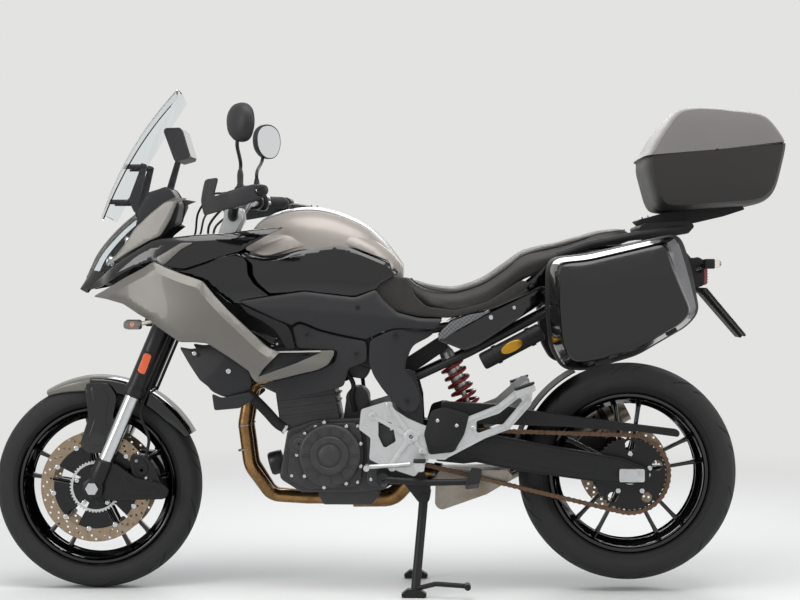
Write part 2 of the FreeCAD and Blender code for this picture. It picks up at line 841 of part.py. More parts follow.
def make_controls():
    """Grips, bar ends, switch housings and the two levers with their holders."""
    bar = size("bar_radius") + SEAT_GAP
    whole = []
    for share_low, share_high, radius in ((0.42, 0.96, size("grip_radius")), (0.27, 0.41, 23)):
        start = along_bar(share_low)
        end = along_bar(share_high)
        sleeve = rod(start, end, radius).cut(rod(start, end, bar))
        whole.append(sleeve)
    weight = rod(along_bar(1.0) + V(0.3, -1, 0) * SEAT_GAP, along_bar(1.16), 17)
    whole.append(weight.cut(outboard_room(guard_curves(), size("guard_wall"))))
    holder_start = along_bar(0.17)
    holder_end = along_bar(0.26)
    holder = rod(holder_start, holder_end, 21).cut(rod(holder_start, holder_end, bar))
    lever_root = holder_end + V(-34, 6, 4)
    arm = rod(holder_start + V(-25, 0, 2), lever_root, 9)
    lever = tube([lever_root, lever_root + V(-16, -40, -2), along_bar(0.5) + V(-62, 0, -8),
                  along_bar(0.92) + V(-52, 0, -12)], 6, 50)
    whole.append(joined([holder, arm, lever]))
    pieces = whole + [mirrored(piece) for piece in whole]
    keep("hand_controls", Part.makeCompound(pieces))


def guard_curves():
    """The two long curves of a hand guard's outer face, round the bar's left end."""
    end = bar_line()[-1]
    behind = end.x + AHEAD
    low = []
    for along, inward in ((-189, 200), (-157, 95), (-89, 5), (8, -24), (56, -30)):
        low.append((behind + along, end.y + inward, end.z - 55))
    high = [(place, side, end.z + 50) for place, side, height in low]
    return low, high


def make_hand_guards():
    """Wind guards in front of the levers, bolted to the bar ends."""
    end = bar_line()[-1]
    outline = []
    for along, rise in ((-176, -12), (-166, -40), (-109, -48), (-39, -36), (21, -28), (27, 20), (-39, 26),
                        (-120, 46), (-159, 36)):
        outline.append((end.x + AHEAD + along, end.z + rise))
    low, high = guard_curves()
    keep("hand_guards", both_sides(panel(outline, low, high, size("guard_wall"), 8)))


def make_mirrors():
    """Two mirrors on bent stems that rise from the lever holders."""
    foot = along_bar(0.215) + V(0, 0, 21 + SEAT_GAP)
    head = bar_line()[-1] + V(-47, 45, 178)
    stem = tube([foot, foot + V(0, 0, 70), head + V(-10, 30, -70), head + V(0, 8, -30)], 5.5, 45)
    face = [(-52, 0), (-44, 44), (-10, 66), (34, 60), (56, 30), (50, -18), (16, -44), (-30, -40)]
    corners = [V(0, across, up) for across, up in face]
    shell = Part.Face(rounded_wire(corners, 16)).extrude(V(-18, 0, 0))
    back = Part.Face(rounded_wire([corner * 0.55 + V(-30, 0, 0) for corner in corners], 9))
    front = Part.Face(rounded_wire([corner * 0.99 + V(-17, 0, 0) for corner in corners], 16))
    dome = Part.makeLoft([front.OuterWire, back.OuterWire], True, True)
    housing = joined([shell, dome])
    housing.Placement = FreeCAD.Placement(head, FreeCAD.Rotation(UP, 20))
    keep("mirrors", both_sides(joined([stem, housing])))


def make_front_brakes():
    """Two radial calipers that straddle the discs behind the fork feet."""
    outline = [(106, 397), (150, 392), (178, 352), (196, 300), (190, 284), (150, 272), (118, 300), (100, 370)]
    inner = size("front_disc_place") - 24
    outer = size("fork_leg_place") - 8 - SEAT_GAP
    caliper = soft_slab(outline, -outer, -inner, 12, 4)
    slot = size("disc_thickness") / 2 + 1.5
    middle = size("front_disc_place")
    gap = disc_plate(FRONT_AXLE, size("front_disc_radius") + 3, -middle - slot, -middle + slot)
    keep("front_calipers", both_sides(caliper.cut(gap)))


def make_front_mudguard():
    """A slim mudguard over the front tyre, with stays down to the fork feet."""
    radius = size("front_tyre_radius") + 9
    wall = size("panel_wall")
    half = size("front_tyre_width") / 2 + 7
    skirt = 36
    section = [
        V(radius, -half, 0), V(radius - skirt, -half, 0), V(radius - skirt, -half - wall, 0),
        V(radius + wall, -half - wall, 0), V(radius + wall + 5, -half * 0.4, 0),
        V(radius + wall + 5, half * 0.4, 0), V(radius + wall, half + wall, 0),
        V(radius - skirt, half + wall, 0), V(radius - skirt, half, 0), V(radius, half, 0),
        V(radius + 5, half * 0.4, 0), V(radius + 5, -half * 0.4, 0),
    ]
    face = Part.Face(Part.makePolygon(section + [section[0]]))
    sweep = face.revolve(V(0, 0, 0), ACROSS, -88)
    sweep.Placement = FreeCAD.Placement(FRONT_AXLE, FreeCAD.Rotation(ACROSS, -31))
    stay_outline = [(-32, 600), (40, 600), (64, 560), (50, 500), (68, 446), (56, 400), (-22, 396), (-46, 420),
                    (-20, 500)]
    root_outline = [(-34, 596), (44, 596), (62, 560), (40, 505), (-22, 505)]
    outside = half + wall
    leg_inner = size("fork_leg_place") - size("stanchion_radius") - SEAT_GAP
    disc_clear = size("front_disc_place") + size("disc_thickness") / 2 + 5.2
    stay = slab(stay_outline, -leg_inner + 1.5, -disc_clear, 14)
    root = slab(root_outline, -leg_inner + 1.5, -outside + 1, 12)
    boss = disc_plate(fork_point(-size("clamp_offset"), 0, 128), 9, -leg_inner, -disc_clear - 1)
    left = joined([stay, root, boss])
    keep("front_mudguard", joined([sweep, left, mirrored(left)]))


def make_brake_hoses():
    """A hose from each caliper up along its fork tube to the lower yoke."""
    hose = 4.5
    side = -size("fork_leg_place") + 8
    clear = size("fork_tube_radius") + 7
    back = -size("clamp_offset")
    start = at(150, side + 4, 392 + SEAT_GAP)
    points = [
        start, at(160, side + 4, 440), fork_point(back + clear, side, 250), fork_point(back + clear, side, 380),
        fork_point(back + clear, side, size("lower_clamp_height") - SEAT_GAP),
    ]
    keep("brake_hoses", both_sides(tube(points, hose, 60)))


# Frame and engine

def shoulder_outline():
    """The frame's rear node, where the spar, the pivot plate and the subframe meet."""
    return [(842, 652), (925, 640), (930, 580), (864, 572)]


def make_main_frame():
    """Head tube, two spars over the engine, pivot plates and the swingarm's pivot bolt."""
    low = size("lower_clamp_height") + size("clamp_thickness") + SEAT_GAP
    high = size("upper_clamp_height") - SEAT_GAP
    head = rod(fork_point(0, 0, low), fork_point(0, 0, high), size("head_tube_radius"))
    stem_hole = rod(fork_point(0, 0, low - 5), fork_point(0, 0, high + 5), size("stem_radius") + SEAT_GAP)
    root = fork_point(8, -20, (low + high) / 2)
    beam = 92
    heights = [(high - low) / 2, beam, beam, beam, beam]
    left_spar = spar([root, at(410, -72, 812), at(560, -122, 768), at(800, -128, 690), at(890, -134, 600)], 34, heights)
    plate_outline = [(842, 652), (925, 640), (946, 560), (950, 480), (930, 392), (880, 380), (862, 440), (880, 520)]
    plate_in = size("arm_outer") + 4
    plate_out = plate_in + 10
    plate = slab(plate_outline, -plate_out, -plate_in, 16)
    shoulder = slab(shoulder_outline(), -plate_out, -118, 10)
    hanger_outline = [(866, 400), (938, 400), (972, 300), (966, 266), (936, 266), (896, 318), (820, 312), (816, 352)]
    hanger = slab(hanger_outline, -plate_out, -plate_in, 12)
    engine_mount = disc_plate(at(600, 0, 705), 10, -112, -100 - SEAT_GAP)
    pin_radius = size("side_stand_pin_radius")
    prop_pin = rod(SIDE_STAND_PIVOT + SIDE_STAND_AXIS * 28, SIDE_STAND_PIVOT - SIDE_STAND_AXIS * 13, pin_radius)
    prop_boss = rod(SIDE_STAND_PIVOT + SIDE_STAND_AXIS * 30, SIDE_STAND_PIVOT + SIDE_STAND_AXIS * 10, 14)
    left = [left_spar, plate, shoulder, hanger, engine_mount]
    bolt = disc_plate(PIVOT, size("pivot_bolt_radius"), -plate_out, plate_out)
    cross = rod(at(880, -130, 628), at(880, 130, 628), 16)
    tank_bar = rod(at(600, -112, 792), at(600, 112, 792), 11)
    rear_bar = rod(at(790, -118, 722), at(790, 118, 722), 11)
    tank = made["fuel_tank"]
    rests = []
    for behind, start in ((600, 792), (790, 722)):
        for side in (-52, 52):
            rests.append(under(rod(at(behind, side, start), at(behind, side, 940), 10), tank))
    ear = slab([(866, 616), (894, 612), (1020, 700), (1016, 728), (990, 730), (870, 652)], -35, -26 - SEAT_GAP, 9)
    pieces = [head] + left + [mirrored(piece) for piece in left] + [ear, mirrored(ear)]
    whole = joined(pieces + [prop_pin, prop_boss, bolt, cross, tank_bar, rear_bar] + rests)
    whole = whole.cut(stem_hole)
    stand_bore = size("stand_pin_radius") + size("running_fit")
    keep("main_frame", whole.cut(disc_plate(STAND_PIVOT, stand_bore, -200, 200)))


def spar(points, width, heights):
    """A rectangular beam through a line of points, upright all the way."""
    wires = []
    for point, height in zip(points, heights):
        corners = [
            point + V(0, -width / 2, -height / 2), point + V(0, width / 2, -height / 2),
            point + V(0, width / 2, height / 2), point + V(0, -width / 2, height / 2),
        ]
        wires.append(rounded_wire(corners, 8))
    return Part.makeLoft(wires, True, True)


def lower_tube_line():
    """The subframe's lower left tube, from the frame's rear node up to the tail."""
    return [at(898, -124, 606), at(1080, -124, 690), at(1290, -116, 800), at(1460, -104, 905)]


def upper_tube_line():
    """The subframe's upper left tube, under the seat."""
    inside = -128 + 17 + size("subframe_radius") + 0.4
    return [at(803.5, inside, 728), at(1050, -100, 768), at(1130, -100, 790), at(1300, -100, 880),
            at(1460, -98, 940), at(1612, -96, 996)]


def make_subframe():
    """Tubes that carry the seat, the tail and the luggage, with stays for the side cases."""
    radius = size("subframe_radius")
    node = Part.Face(side_wire(shoulder_outline(), -200, 10).makeOffset2D(SEAT_GAP)).extrude(V(0, 400, 0))
    lower = tube(lower_tube_line(), radius, 120).cut(node)
    upper = tube(upper_tube_line(), radius, 160)
    link = rod(at(1453, -104, 900), at(1440, -98, 945), radius - 1)
    case_face = size("pannier_inner_place") - SEAT_GAP
    stays = []
    for behind, height in case_stays():
        stays.append(disc_plate(at(behind, 0, height), size("case_stay_radius"), -case_face, -104))
    left = joined([lower, upper, link] + stays)
    crosses = []
    rests = []
    for behind, height in ((1050, 766), (1300, 879), (1460, 939)):
        crosses.append(rod(at(behind, -98, height), at(behind, 98, height), 9))
        for side in (-55, 55):
            rests.append(under(rod(at(behind, side, height), at(behind, side, height + 90), 8), made["seat"]))
    crosses.append(rod(at(1612, -96, 996), at(1612, 96, 996), radius))
    keep("subframe", joined([left, mirrored(left)] + crosses + rests))


def case_stays():
    """Where the side cases hang on their stays."""
    return [(1312, 815), (1453, 930)]


def make_front_stay():
    """The bracket on the head tube that carries the headlight, the cockpit and the fairing."""
    neck = []
    low = size("lower_clamp_height") + size("clamp_thickness")
    high = size("upper_clamp_height")
    middle = (low + high) / 2
    for back, share in ((-size("head_tube_radius") + 4, 0.245), (-140, 0.19)):
        corners = []
        for side, rise in ((-28, -1), (28, -1), (28, 1), (-28, 1)):
            corners.append(fork_point(back, side, middle + rise * share * (high - low)))
        neck.append(Part.makePolygon(corners + [corners[0]]))
    neck_solid = Part.makeLoft(neck, True, True)
    head = rod(fork_point(0, 0, 500), fork_point(0, 0, 800), size("head_tube_radius") + SEAT_GAP)
    front = 112 + SEAT_GAP
    plate_outline = [(front, 902), (front, 1040), (124, 1100), (150, 1100), (150, 1036), (134, 1020), (160, 985),
                     (160, 915), (128, 900)]
    plate = under(slab(plate_outline, -60, 60, 3), made["cockpit"])
    arm = rod(at(134, -170, 945), at(134, 0, 945), 9).cut(outboard_room(flank_curves(), size("panel_wall")))
    arm = max(arm.Solids, key=lambda solid: solid.CenterOfMass.y)
    keep("front_stay", joined([neck_solid.cut(head), plate, arm, mirrored(arm)]))


def make_engine():
    """A parallel twin: crankcase, tilted cylinder block, head, intake, starter and sump."""
    half = size("engine_half_width")
    case_outline = [(536, 330), (560, 470), (640, 498), (790, 505), (852, 480), (858, 395), (850, 300), (760, 290),
                    (600, 290)]
    case = soft_slab(case_outline, -half + 14, half - 14, 22, 6)
    sump = soft_slab([(640, 300), (660, 252), (800, 252), (840, 300)], -100, 24, 14, 6)
    block = soft_slab([(540, 462), (522, 590), (690, 612), (712, 490)], -105, 105, 10, 5)
    head = soft_slab([(520, 588), (504, 684), (516, 704), (676, 730), (686, 705), (694, 608)], -100, 100, 14, 5)
    cam_cover = soft_slab([(514, 690), (520, 726), (540, 736), (650, 744), (672, 716)], -92, 92, 14, 6)
    intake = soft_slab([(684, 700), (776, 694), (798, 650), (782, 612), (690, 626)], -84, 84, 14, 5)
    starter = disc_plate(at(758, 0, 556), 33, -74, 66)
    cradle = slab([(716, 490), (800, 490), (790, 560), (726, 560)], -60, 50, 8)
    joint_line = slab([(522, 588), (694, 606), (693, 614), (521, 596)], -108, 108, 2)
    ribs = []
    for height in (500, 522, 544, 566):
        ribs.append(slab([(534, height), (706, height + 22), (705, height + 27), (533, height + 5)], -109, 109, 1.5))
    sprocket_side = -size("chain_place") - size("sprocket_thickness") / 2
    centre = at(size("front_sprocket_behind"), 0, size("front_sprocket_height"))
    space = disc_plate(centre, pitch_radius(size("front_teeth")) + 14, -half - 5, -size("chain_place") + 14)
    wheel = toothed_plate(centre, size("front_teeth"), sprocket_side, size("sprocket_thickness"), 2)
    shaft = disc_plate(centre, 15, sprocket_side - 4, -size("chain_place") + 30)
    exit_slot = slab([(850, 380), (900, 380), (900, 492), (850, 492)], -half - 5, -size("chain_place") + 14, 1)
    castings = [case, sump, block, head, cam_cover, intake, starter, cradle, joint_line] + ribs
    whole = joined(castings).cut(space).cut(exit_slot)
    keep("engine_block", joined([whole, shaft, wheel]))


def screw_bosses(centre, reach, count, low_side, high_side):
    """Screw bosses evenly round a cover, half sunk in its wall."""
    bosses = []
    for step in range(count):
        angle = 2 * math.pi * (step + 0.5) / count
        place = centre + V(reach * math.cos(angle), 0, reach * math.sin(angle))
        bosses.append(disc_plate(place, 7.5, low_side, high_side))
    return bosses


def round_cover(centre, radius, low_side, high_side, outer_side):
    """A round cover with a soft outer rim and a raised middle."""
    disc = disc_plate(centre, radius, low_side, high_side)
    rim = [edge for edge in disc.Edges if abs(edge.CenterOfMass.y - outer_side) < 0.1]
    step = -4 if outer_side < 0 else 4
    middle = disc_plate(centre, radius * 0.62, min(outer_side, outer_side + step), max(outer_side, outer_side + step))
    return joined([disc.makeFillet(12, rim), middle])


def make_engine_covers():
    """Round and oval covers screwed to both sides of the crankcase."""
    half = size("engine_half_width")
    depth = size("cover_depth")
    inner = half - 14 + SEAT_GAP
    centre = at(683, 0, 400)
    radius = size("left_cover_radius")
    left = round_cover(centre, radius, -inner - depth, -inner, -inner - depth)
    wide = soft_slab([(560, 330), (572, 450), (640, 490), (770, 492), (780, 400), (770, 310), (620, 302)],
                     -inner - 22, -inner, 30, 4)
    pump = disc_plate(at(596, 0, 432), 30, -inner - 36, -inner)
    left = joined([left, wide, pump] + screw_bosses(centre, radius + 4, 9, -inner - 28, -inner - 2))
    gear_cover = soft_slab([(788, 312), (786, 486), (846, 490), (872, 476), (872, 340), (850, 306)],
                           -inner - 22, -inner, 18, 4)
    right_centre = at(690, 0, 395)
    right_disc = round_cover(right_centre, radius - 3, inner, inner + depth - 8, inner + depth - 8)
    right_wide = soft_slab([(560, 330), (572, 450), (640, 490), (830, 480), (835, 320), (620, 302)],
                           inner, inner + 20, 30, 4)
    right = joined([right_disc, right_wide] + screw_bosses(right_centre, radius + 1, 9, inner + 2, inner + 26))
    keep("engine_covers", Part.makeCompound([left, gear_cover, right]))


def make_exhaust():
    """Two bronze header pipes that meet beside the sump, then the silencers."""
    radius = size("header_radius")
    pipes = []
    for side in (-52, 52):
        start = at(515.6, side, 610)
        points = [
            start, at(450, side, 598), at(430, side, 480), at(446, side, 360), at(500, 70 + side * 0.45, 264),
            at(600, 84 + side * 0.42, 256), at(760, 84 + side * 0.34, 254),
        ]
        pipes.append(tube(points, radius, 48))
        flange = start + (points[1] - start).normalize() * 7
        pipes.append(rod(start, flange, radius + 8))
    collector = tube([at(740, 84, 252), at(856, 78, 254), at(930, 64, 336), at(978, 56, 330)], 27, 60)
    keep("exhaust_headers", joined(pipes + [collector]))
    box_outline = [(985, 350), (1190, 352), (1212, 330), (1130, 282), (1000, 236), (982, 250)]
    end = at(978, 56, 330)
    way = (end - at(930, 64, 336)).normalize()
    box = slab(box_outline, -92, 96, 22).cut(rod(end - way * 40, end + way * SEAT_GAP, 34))
    inlet = rod(end + way * SEAT_GAP, end + way * 22, 31)
    outlet = tube([at(1130, 60, 306), at(1182, 150, 308), at(1275, 208, 352)], 22, 50)
    can = rod(at(1262, 207, 346), at(1520, 222, 486), size("silencer_radius"))
    tip = rod(at(1505, 221, 478), at(1558, 224, 506), 33)
    keep("silencer", joined([box, inlet, outlet, can, tip]))



def make_radiator():
    """The cooler behind the front wheel, with its two header tanks."""
    core_outline = [(340, 752), (372, 764), (404, 592), (372, 580)]
    core = slab(core_outline, -146, 146, 4)
    rows = 15
    for row in range(rows):
        share = (row + 1) / (rows + 1)
        face = V(340 + 32 * share, 752 - 172 * share, 0)
        inward = V(172, 32, 0).normalize() * 5
        down = V(32, -172, 0).normalize() * 3
        corners = [face - inward - down, face + inward - down, face + inward + down, face - inward + down]
        core = core.cut(slab([(corner.x, corner.y) for corner in corners], -138, 138, 0))
    tank = slab([(336, 756), (376, 770), (410, 588), (368, 574)], -168, -146, 8)
    foot = rod(at(372, -60, 660), at(506.6, -60, 660), 7)
    keep("radiator", joined([core, tank, mirrored(tank), foot, mirrored(foot)]))


# Rear suspension

def make_swingarm():
    """Twin-sided arm: a beam each side of the wheel, tied between the chain's two runs."""
    inner = size("arm_inner")
    outer = size("arm_outer")
    pivot = size("pivot_behind")
    height = size("pivot_height")
    end = size("wheelbase")
    axle_height = REAR_AXLE.z
    outline = [
        (pivot - 36, height), (pivot - 8, height + 36), (pivot + 100, height + 34), (end - 200, axle_height + 79),
        (end - 30, axle_height + 50), (end + 52, axle_height + 18), (end + 52, axle_height - 26),
        (end - 90, axle_height - 20), (end - 320, axle_height + 12), (pivot + 90, height - 48), (pivot, height - 38),
    ]
    arm = slab(outline, -outer, -inner, 20)
    slot = slab([(end - 28, axle_height + 13), (end + 30, axle_height + 13), (end + 30, axle_height - 13),
                 (end - 28, axle_height - 13)], -outer - 1, -inner + 1, 5)
    arm = arm.cut(slot)
    adjuster = slab([(end - 34, axle_height + 19), (end + 38, axle_height + 19), (end + 38, axle_height - 19),
                     (end - 34, axle_height - 19)], -outer - 5, -outer, 6)
    adjuster = adjuster.cut(disc_plate(REAR_AXLE, size("rear_axle_radius") + SEAT_GAP, -200, 200))
    bushing = slab([(end - 27, axle_height + 12.6), (end + 29, axle_height + 12.6), (end + 29, axle_height - 12.6),
                    (end - 27, axle_height - 12.6)], -outer, -inner, 4)
    bushing = bushing.cut(disc_plate(REAR_AXLE, size("rear_axle_radius") + size("running_fit"), -200, 200))
    beam = slab([(pivot + 62, height - 10), (pivot + 70, height - 2), (pivot + 250, height - 22),
                 (pivot + 262, height - 60), (pivot + 150, height - 74), (pivot + 70, height - 66)],
                -inner - 2, inner + 2, 12)
    pivot_tube = disc_plate(PIVOT, 24, -88, inner + 2)
    neck = slab([(pivot - 5, height - 22), (pivot - 5, height + 20), (pivot + 80, height - 8), (pivot + 80, height - 56)],
                -86, inner + 2, 6)
    shock_ear = slab([(pivot + 170, height - 30), (pivot + 180, height + 40), (pivot + 205, height + 40),
                      (pivot + 230, height - 30)], -30, -22, 8)
    whole = [arm, mirrored(arm), beam, pivot_tube, neck, shock_ear, mirrored(shock_ear)]
    plates = [adjuster, mirrored(adjuster), bushing, mirrored(bushing)]
    fused = joined(whole + plates)
    hole = disc_plate(PIVOT, size("pivot_bolt_radius") + SEAT_GAP, -200, 200)
    keep("swingarm", fused.cut(hole))


def make_shock():
    """The spring and damper between the arm and the frame, with its reservoir."""
    foot = at(size("pivot_behind") + 192, 0, size("pivot_height") + 26)
    top = at(1004, 0, 712)
    along = (top - foot).normalize()
    eye = disc_plate(foot, 14, -21.6, 21.6)
    shaft = rod(foot, foot + along * 120, 8)
    body = rod(foot + along * 100, top - along * 12, 21)
    seat_low = rod(foot + along * 36, foot + along * 44, 40)
    seat_high = rod(foot + along * 200, foot + along * 208, 40)
    head = disc_plate(top, 15, -26, 26)
    damper = joined([eye, shaft, body, seat_low, seat_high, head])
    low_end, high_end = lower_tube_line()[1:3]
    slope = (high_end - low_end).normalize()
    reach = size("reservoir_radius") + size("subframe_radius") + 4 + SEAT_GAP
    below = low_end + slope.cross(ACROSS) * reach
    if below.z > low_end.z:
        below = low_end - slope.cross(ACROSS) * reach
    bottle = rod(below + slope * 20, below + slope * 214, size("reservoir_radius"))
    bottle = bottle.makeFillet(8, [edge for edge in bottle.Edges if edge.Closed])
    bands = []
    for place in (62, 170):
        bands.append(rod(below + slope * place, below + slope * (place + 16), size("reservoir_radius") + 4))
    keep("shock_absorber", Part.makeCompound([damper, joined([bottle] + bands)]))
    turns = 6
    low = foot + along * (44 + SEAT_GAP)
    high = foot + along * (200 - SEAT_GAP)
    radius = 32
    wire = 5.5
    rise = (high - low).Length - 2 * wire
    coil = Part.makeHelix(rise / turns, rise, radius)
    circle = Part.Wire(Part.makeCircle(wire, V(radius, 0, 0), V(0, 1, 0)))
    spring = Part.Wire(coil).makePipeShell([circle], True, True)
    spring.Placement = FreeCAD.Placement(low + along * wire, FreeCAD.Rotation(UP, along))
    keep("shock_spring", spring)


def make_hugger():
    """Chain guard and the short inner mudguard in front of the rear tyre."""
    end = size("wheelbase")
    axle_height = REAR_AXLE.z
    radius = size("rear_tyre_radius") + 14
    wall = size("panel_wall")
    half = size("rear_tyre_width") / 2 + 4
    section = [V(radius, -half, 0), V(radius + wall, -half, 0), V(radius + wall + 6, 0, 0),
               V(radius + wall, half, 0), V(radius, half, 0), V(radius + 6, 0, 0)]
    face = Part.Face(Part.makePolygon(section + [section[0]]))
    sweep = face.revolve(V(0, 0, 0), ACROSS, -52)
    sweep.Placement = FreeCAD.Placement(REAR_AXLE, FreeCAD.Rotation(ACROSS, -118))
    guard_outline = [(1000, 551), (1166, 543), (1266, 524), (end - 90, axle_height + 156), (end + 138, axle_height + 128),
                     (end + 138, axle_height + 108), (end + 20, axle_height + 124), (end - 200, axle_height + 138),
                     (1180, 486), (1000, 492)]
    inner = size("arm_inner")
    guard = slab(guard_outline, -inner - 16, -half + 1, 10)
    hollow = slab([(1006, 545), (1166, 537), (1262, 518), (end - 92, axle_height + 150), (end + 133, axle_height + 122),
                   (end + 133, axle_height + 100), (end - 200, axle_height + 100), (1000, 480)],
                  -inner - 12, -half - 5, 8)
    foot = on_top_of(rod(at(1100, -inner - 10, 440), at(1100, -inner - 10, 502), 6), made["swingarm"])
    keep("rear_hugger", joined([sweep, guard.cut(hollow), foot]))


def make_rear_brake():
    """The rear caliper over its disc, under the right arm."""
    middle = size("rear_disc_place")
    slot = size("disc_thickness") / 2 + 1.5
    outline = [(-128, 36), (-62, 62), (-52, 100), (-120, 96), (-150, 66)]
    end = size("wheelbase")
    place = [(end + behind, REAR_AXLE.z + height) for behind, height in outline]
    body = slab(place, middle - 20, size("arm_inner") - SEAT_GAP, 12)
    gap = Part.makeCylinder(size("rear_disc_radius") + 3, 2 * slot, V(REAR_AXLE.x, middle - slot, REAR_AXLE.z), ACROSS)
    keep("rear_caliper", body.cut(gap))


# Stands and footrests

def make_centre_stand():
    """A two-legged stand on its pin under the frame, with a tread lever."""
    place = size("stand_leg_place")
    spread = size("stand_foot_place")
    radius = size("stand_tube_radius")
    pivot = STAND_PIVOT
    foot = pivot - V(size("stand_foot_ahead"), 0, pivot.z)
    hanger = size("arm_outer") + 4
    barrel = disc_plate(pivot, size("stand_barrel_radius"), -hanger + 0.5, hanger - 0.5)
    pin = disc_plate(pivot, size("stand_pin_radius"), -hanger - 16, hanger + 16)
    legs = []
    for side in (-1, 1):
        top = V(pivot.x, side * place, pivot.z)
        knee = V(pivot.x - 5, side * (place + 4), pivot.z - 60)
        low = V(foot.x + 2, side * spread, 16)
        legs.append(tube([top, knee, low], radius, 60))
        base = [(-34, 0), (30, 0), (36, 10), (14, 24), (-20, 24), (-38, 10)]
        corners = [V(foot.x + along, side * spread - 16, up) for along, up in base]
        pad = Part.Face(rounded_wire(corners, 5)).extrude(V(0, 32, 0))
        legs.append(pad)
    start = V(foot.x + 8, -spread - 6, 26)
    lever = tube([start, start + V(52, -6, 14), start + V(144, -22, 10)], 7, 40)
    tread = rod(start + V(142, -48, 10), start + V(142, -4, 10), 9)
    keep("centre_stand", joined([barrel, pin] + legs + [lever, tread]))


def make_side_stand():
    """The folded prop: a leg with a flat foot, on a leaning pin under the frame."""
    length = size("side_stand_length")
    fit = size("side_stand_pin_radius") + size("running_fit")
    eye = disc_plate(V(0, 0, 0), 16, -9, 9)
    leg = tube([V(0, 0, 0), V(120, -2, -10), V(length - 20, -6, -8)], 9.5, 200)
    centre = V(length - 6, -28, -6)
    corners = [centre + V(along, 0, up) for along, up in ((-26, -20), (14, -14), (24, 30), (-6, 34))]
    foot = Part.Face(rounded_wire(corners, 5)).extrude(V(0, 44, 0))
    whole = joined([eye, leg, foot]).cut(disc_plate(V(0, 0, 0), fit, -20, 20))
    whole.Placement = FreeCAD.Placement(SIDE_STAND_PIVOT, SIDE_STAND_TURN)
    keep("side_stand", whole)


def make_footrests():
    """Cast hangers outside the pivot plates with the rider's and the passenger's pegs."""
    inner = size("arm_outer") + 14 + SEAT_GAP
    outer = inner + 9
    outline = [(773, 531), (847, 554), (862, 534), (905, 506), (960, 482), (966, 389), (925, 340),
               (838, 369), (796, 389), (800, 450), (767, 474)]
    plate = slab(outline, -outer, -inner, 9)
    window = slab([(822, 505), (862, 492), (872, 440), (838, 420), (822, 455)], -outer - 1, -inner + 1, 8)
    peg_bar = slab([(922, 386), (956, 386), (952, 362), (928, 362)], -outer - 88, -outer + 1, 6)
    heel = soft_slab([(972, 526), (1009, 537), (1079, 517), (1065, 461), (1037, 412), (966, 404), (952, 461)],
                     -outer - SEAT_GAP - 5, -outer - SEAT_GAP, 10, 1.5)
    side = -outer - SEAT_GAP - 6.5
    pedal = tube([at(913, side, 376), at(868, side, 372), at(790, side, 368)], 6.5, 40)
    toe = rod(at(790, side + 4, 368), at(790, side - 50, 368), 8.5)
    pieces = [joined([plate.cut(window), peg_bar]), heel, joined([pedal, toe])]
    keep("rider_footrests", Part.makeCompound(pieces + [mirrored(piece) for piece in pieces]))
    arm_outline = [(930, 470), (1057, 503), (1164, 545), (1240, 612), (1262, 606), (1255, 545), (1193, 475),
                   (1079, 432), (1010, 388), (930, 392)]
    seat_edge = Part.Face(side_wire(outline, -outer - 5, 9).makeOffset2D(SEAT_GAP)).extrude(V(0, 40, 0))
    passenger = slab(arm_outline, -outer, -inner, 9).cut(seat_edge)
    passenger = max(passenger.Solids, key=lambda solid: solid.Volume)
    passenger = passenger.cut(slab([(1100, 498), (1164, 520), (1222, 566), (1232, 556), (1176, 490), (1100, 462)],
                                   -outer - 1, -inner + 1, 7))
    rear_peg = slab([(1206, 586), (1262, 606), (1266, 588), (1212, 568)], -outer - 70, -outer + 1, 6)
    keep("passenger_footrests", both_sides(joined([passenger, rear_peg])))


# Bodywork

def make_tank():
    """The fuel tank's visible cover, from the steering head to the seat."""
    half = size("tank_half_width")
    sections = [
        cross_section(452, half * 0.42, 1046, 900),
        cross_section(500, half * 0.74, 1086, 874),
        cross_section(570, half * 0.93, 1108, 866),
        cross_section(660, half, 1106, 864),
        cross_section(760, half * 0.93, 1072, 868),
        cross_section(840, half * 0.70, 1008, 872),
        cross_section(893, half * 0.50, 946, 878),
    ]
    cap = joined([rod(at(598, 0, 1080), at(598, 0, 1113), 46), rod(at(598, 0, 1100), at(598, 0, 1118), 33)])
    keep("fuel_tank", joined([section_loft(sections), cap]))


def seat_section(behind, half_width, top, bottom):
    """Points round the seat's section: flat below, crowned above."""
    rise = top - bottom
    right = [(0.0, 1.0), (0.6, 0.97), (0.93, 0.74), (1.0, 0.4), (0.92, 0.0), (0.5, 0.0)]
    left = [(-across, up) for across, up in reversed(right[1:])]
    ring = right + [(0.0, 0.0)] + left
    return [at(behind, half_width * across, bottom + rise * up) for across, up in ring]


def make_seat():
    """Two-level seat: the rider's hollow and the passenger's step."""
    half = size("seat_half_width")
    sections = [
        seat_section(904, half * 0.52, 916, 850),
        seat_section(960, half * 0.92, 884, 810),
        seat_section(1040, half * 1.08, 876, 800),
        seat_section(1130, half * 1.15, 908, 822),
        seat_section(1230, half * 1.10, 978, 896),
        seat_section(1330, half * 1.02, 1003, 936),
        seat_section(1450, half * 0.92, 1037, 980),
        seat_section(1545, half * 0.78, 1042, 1010),
    ]
    keep("seat", section_loft(sections))


def make_tank_sides():
    """Painted panels on the tank's flanks, down to the side covers."""
    outline = [(411, 905), (440, 985), (500, 1012), (577, 1046), (691, 1062), (740, 1050), (812, 1008),
               (868, 966), (892, 925), (826, 888), (760, 858), (607, 872), (430, 868)]
    low = [(380, -150, 850), (520, -186, 850), (680, -196, 850), (800, -180, 850), (910, -140, 850)]
    high = [(380, -120, 1070), (520, -150, 1070), (680, -160, 1070), (800, -148, 1070), (910, -110, 1070)]
    skin = panel(outline, low, high, size("panel_wall"), 14)
    rest = peg((low, high), 660, 985, -60, 9, made["fuel_tank"])
    keep("tank_sides", both_sides(joined([skin, rest])))


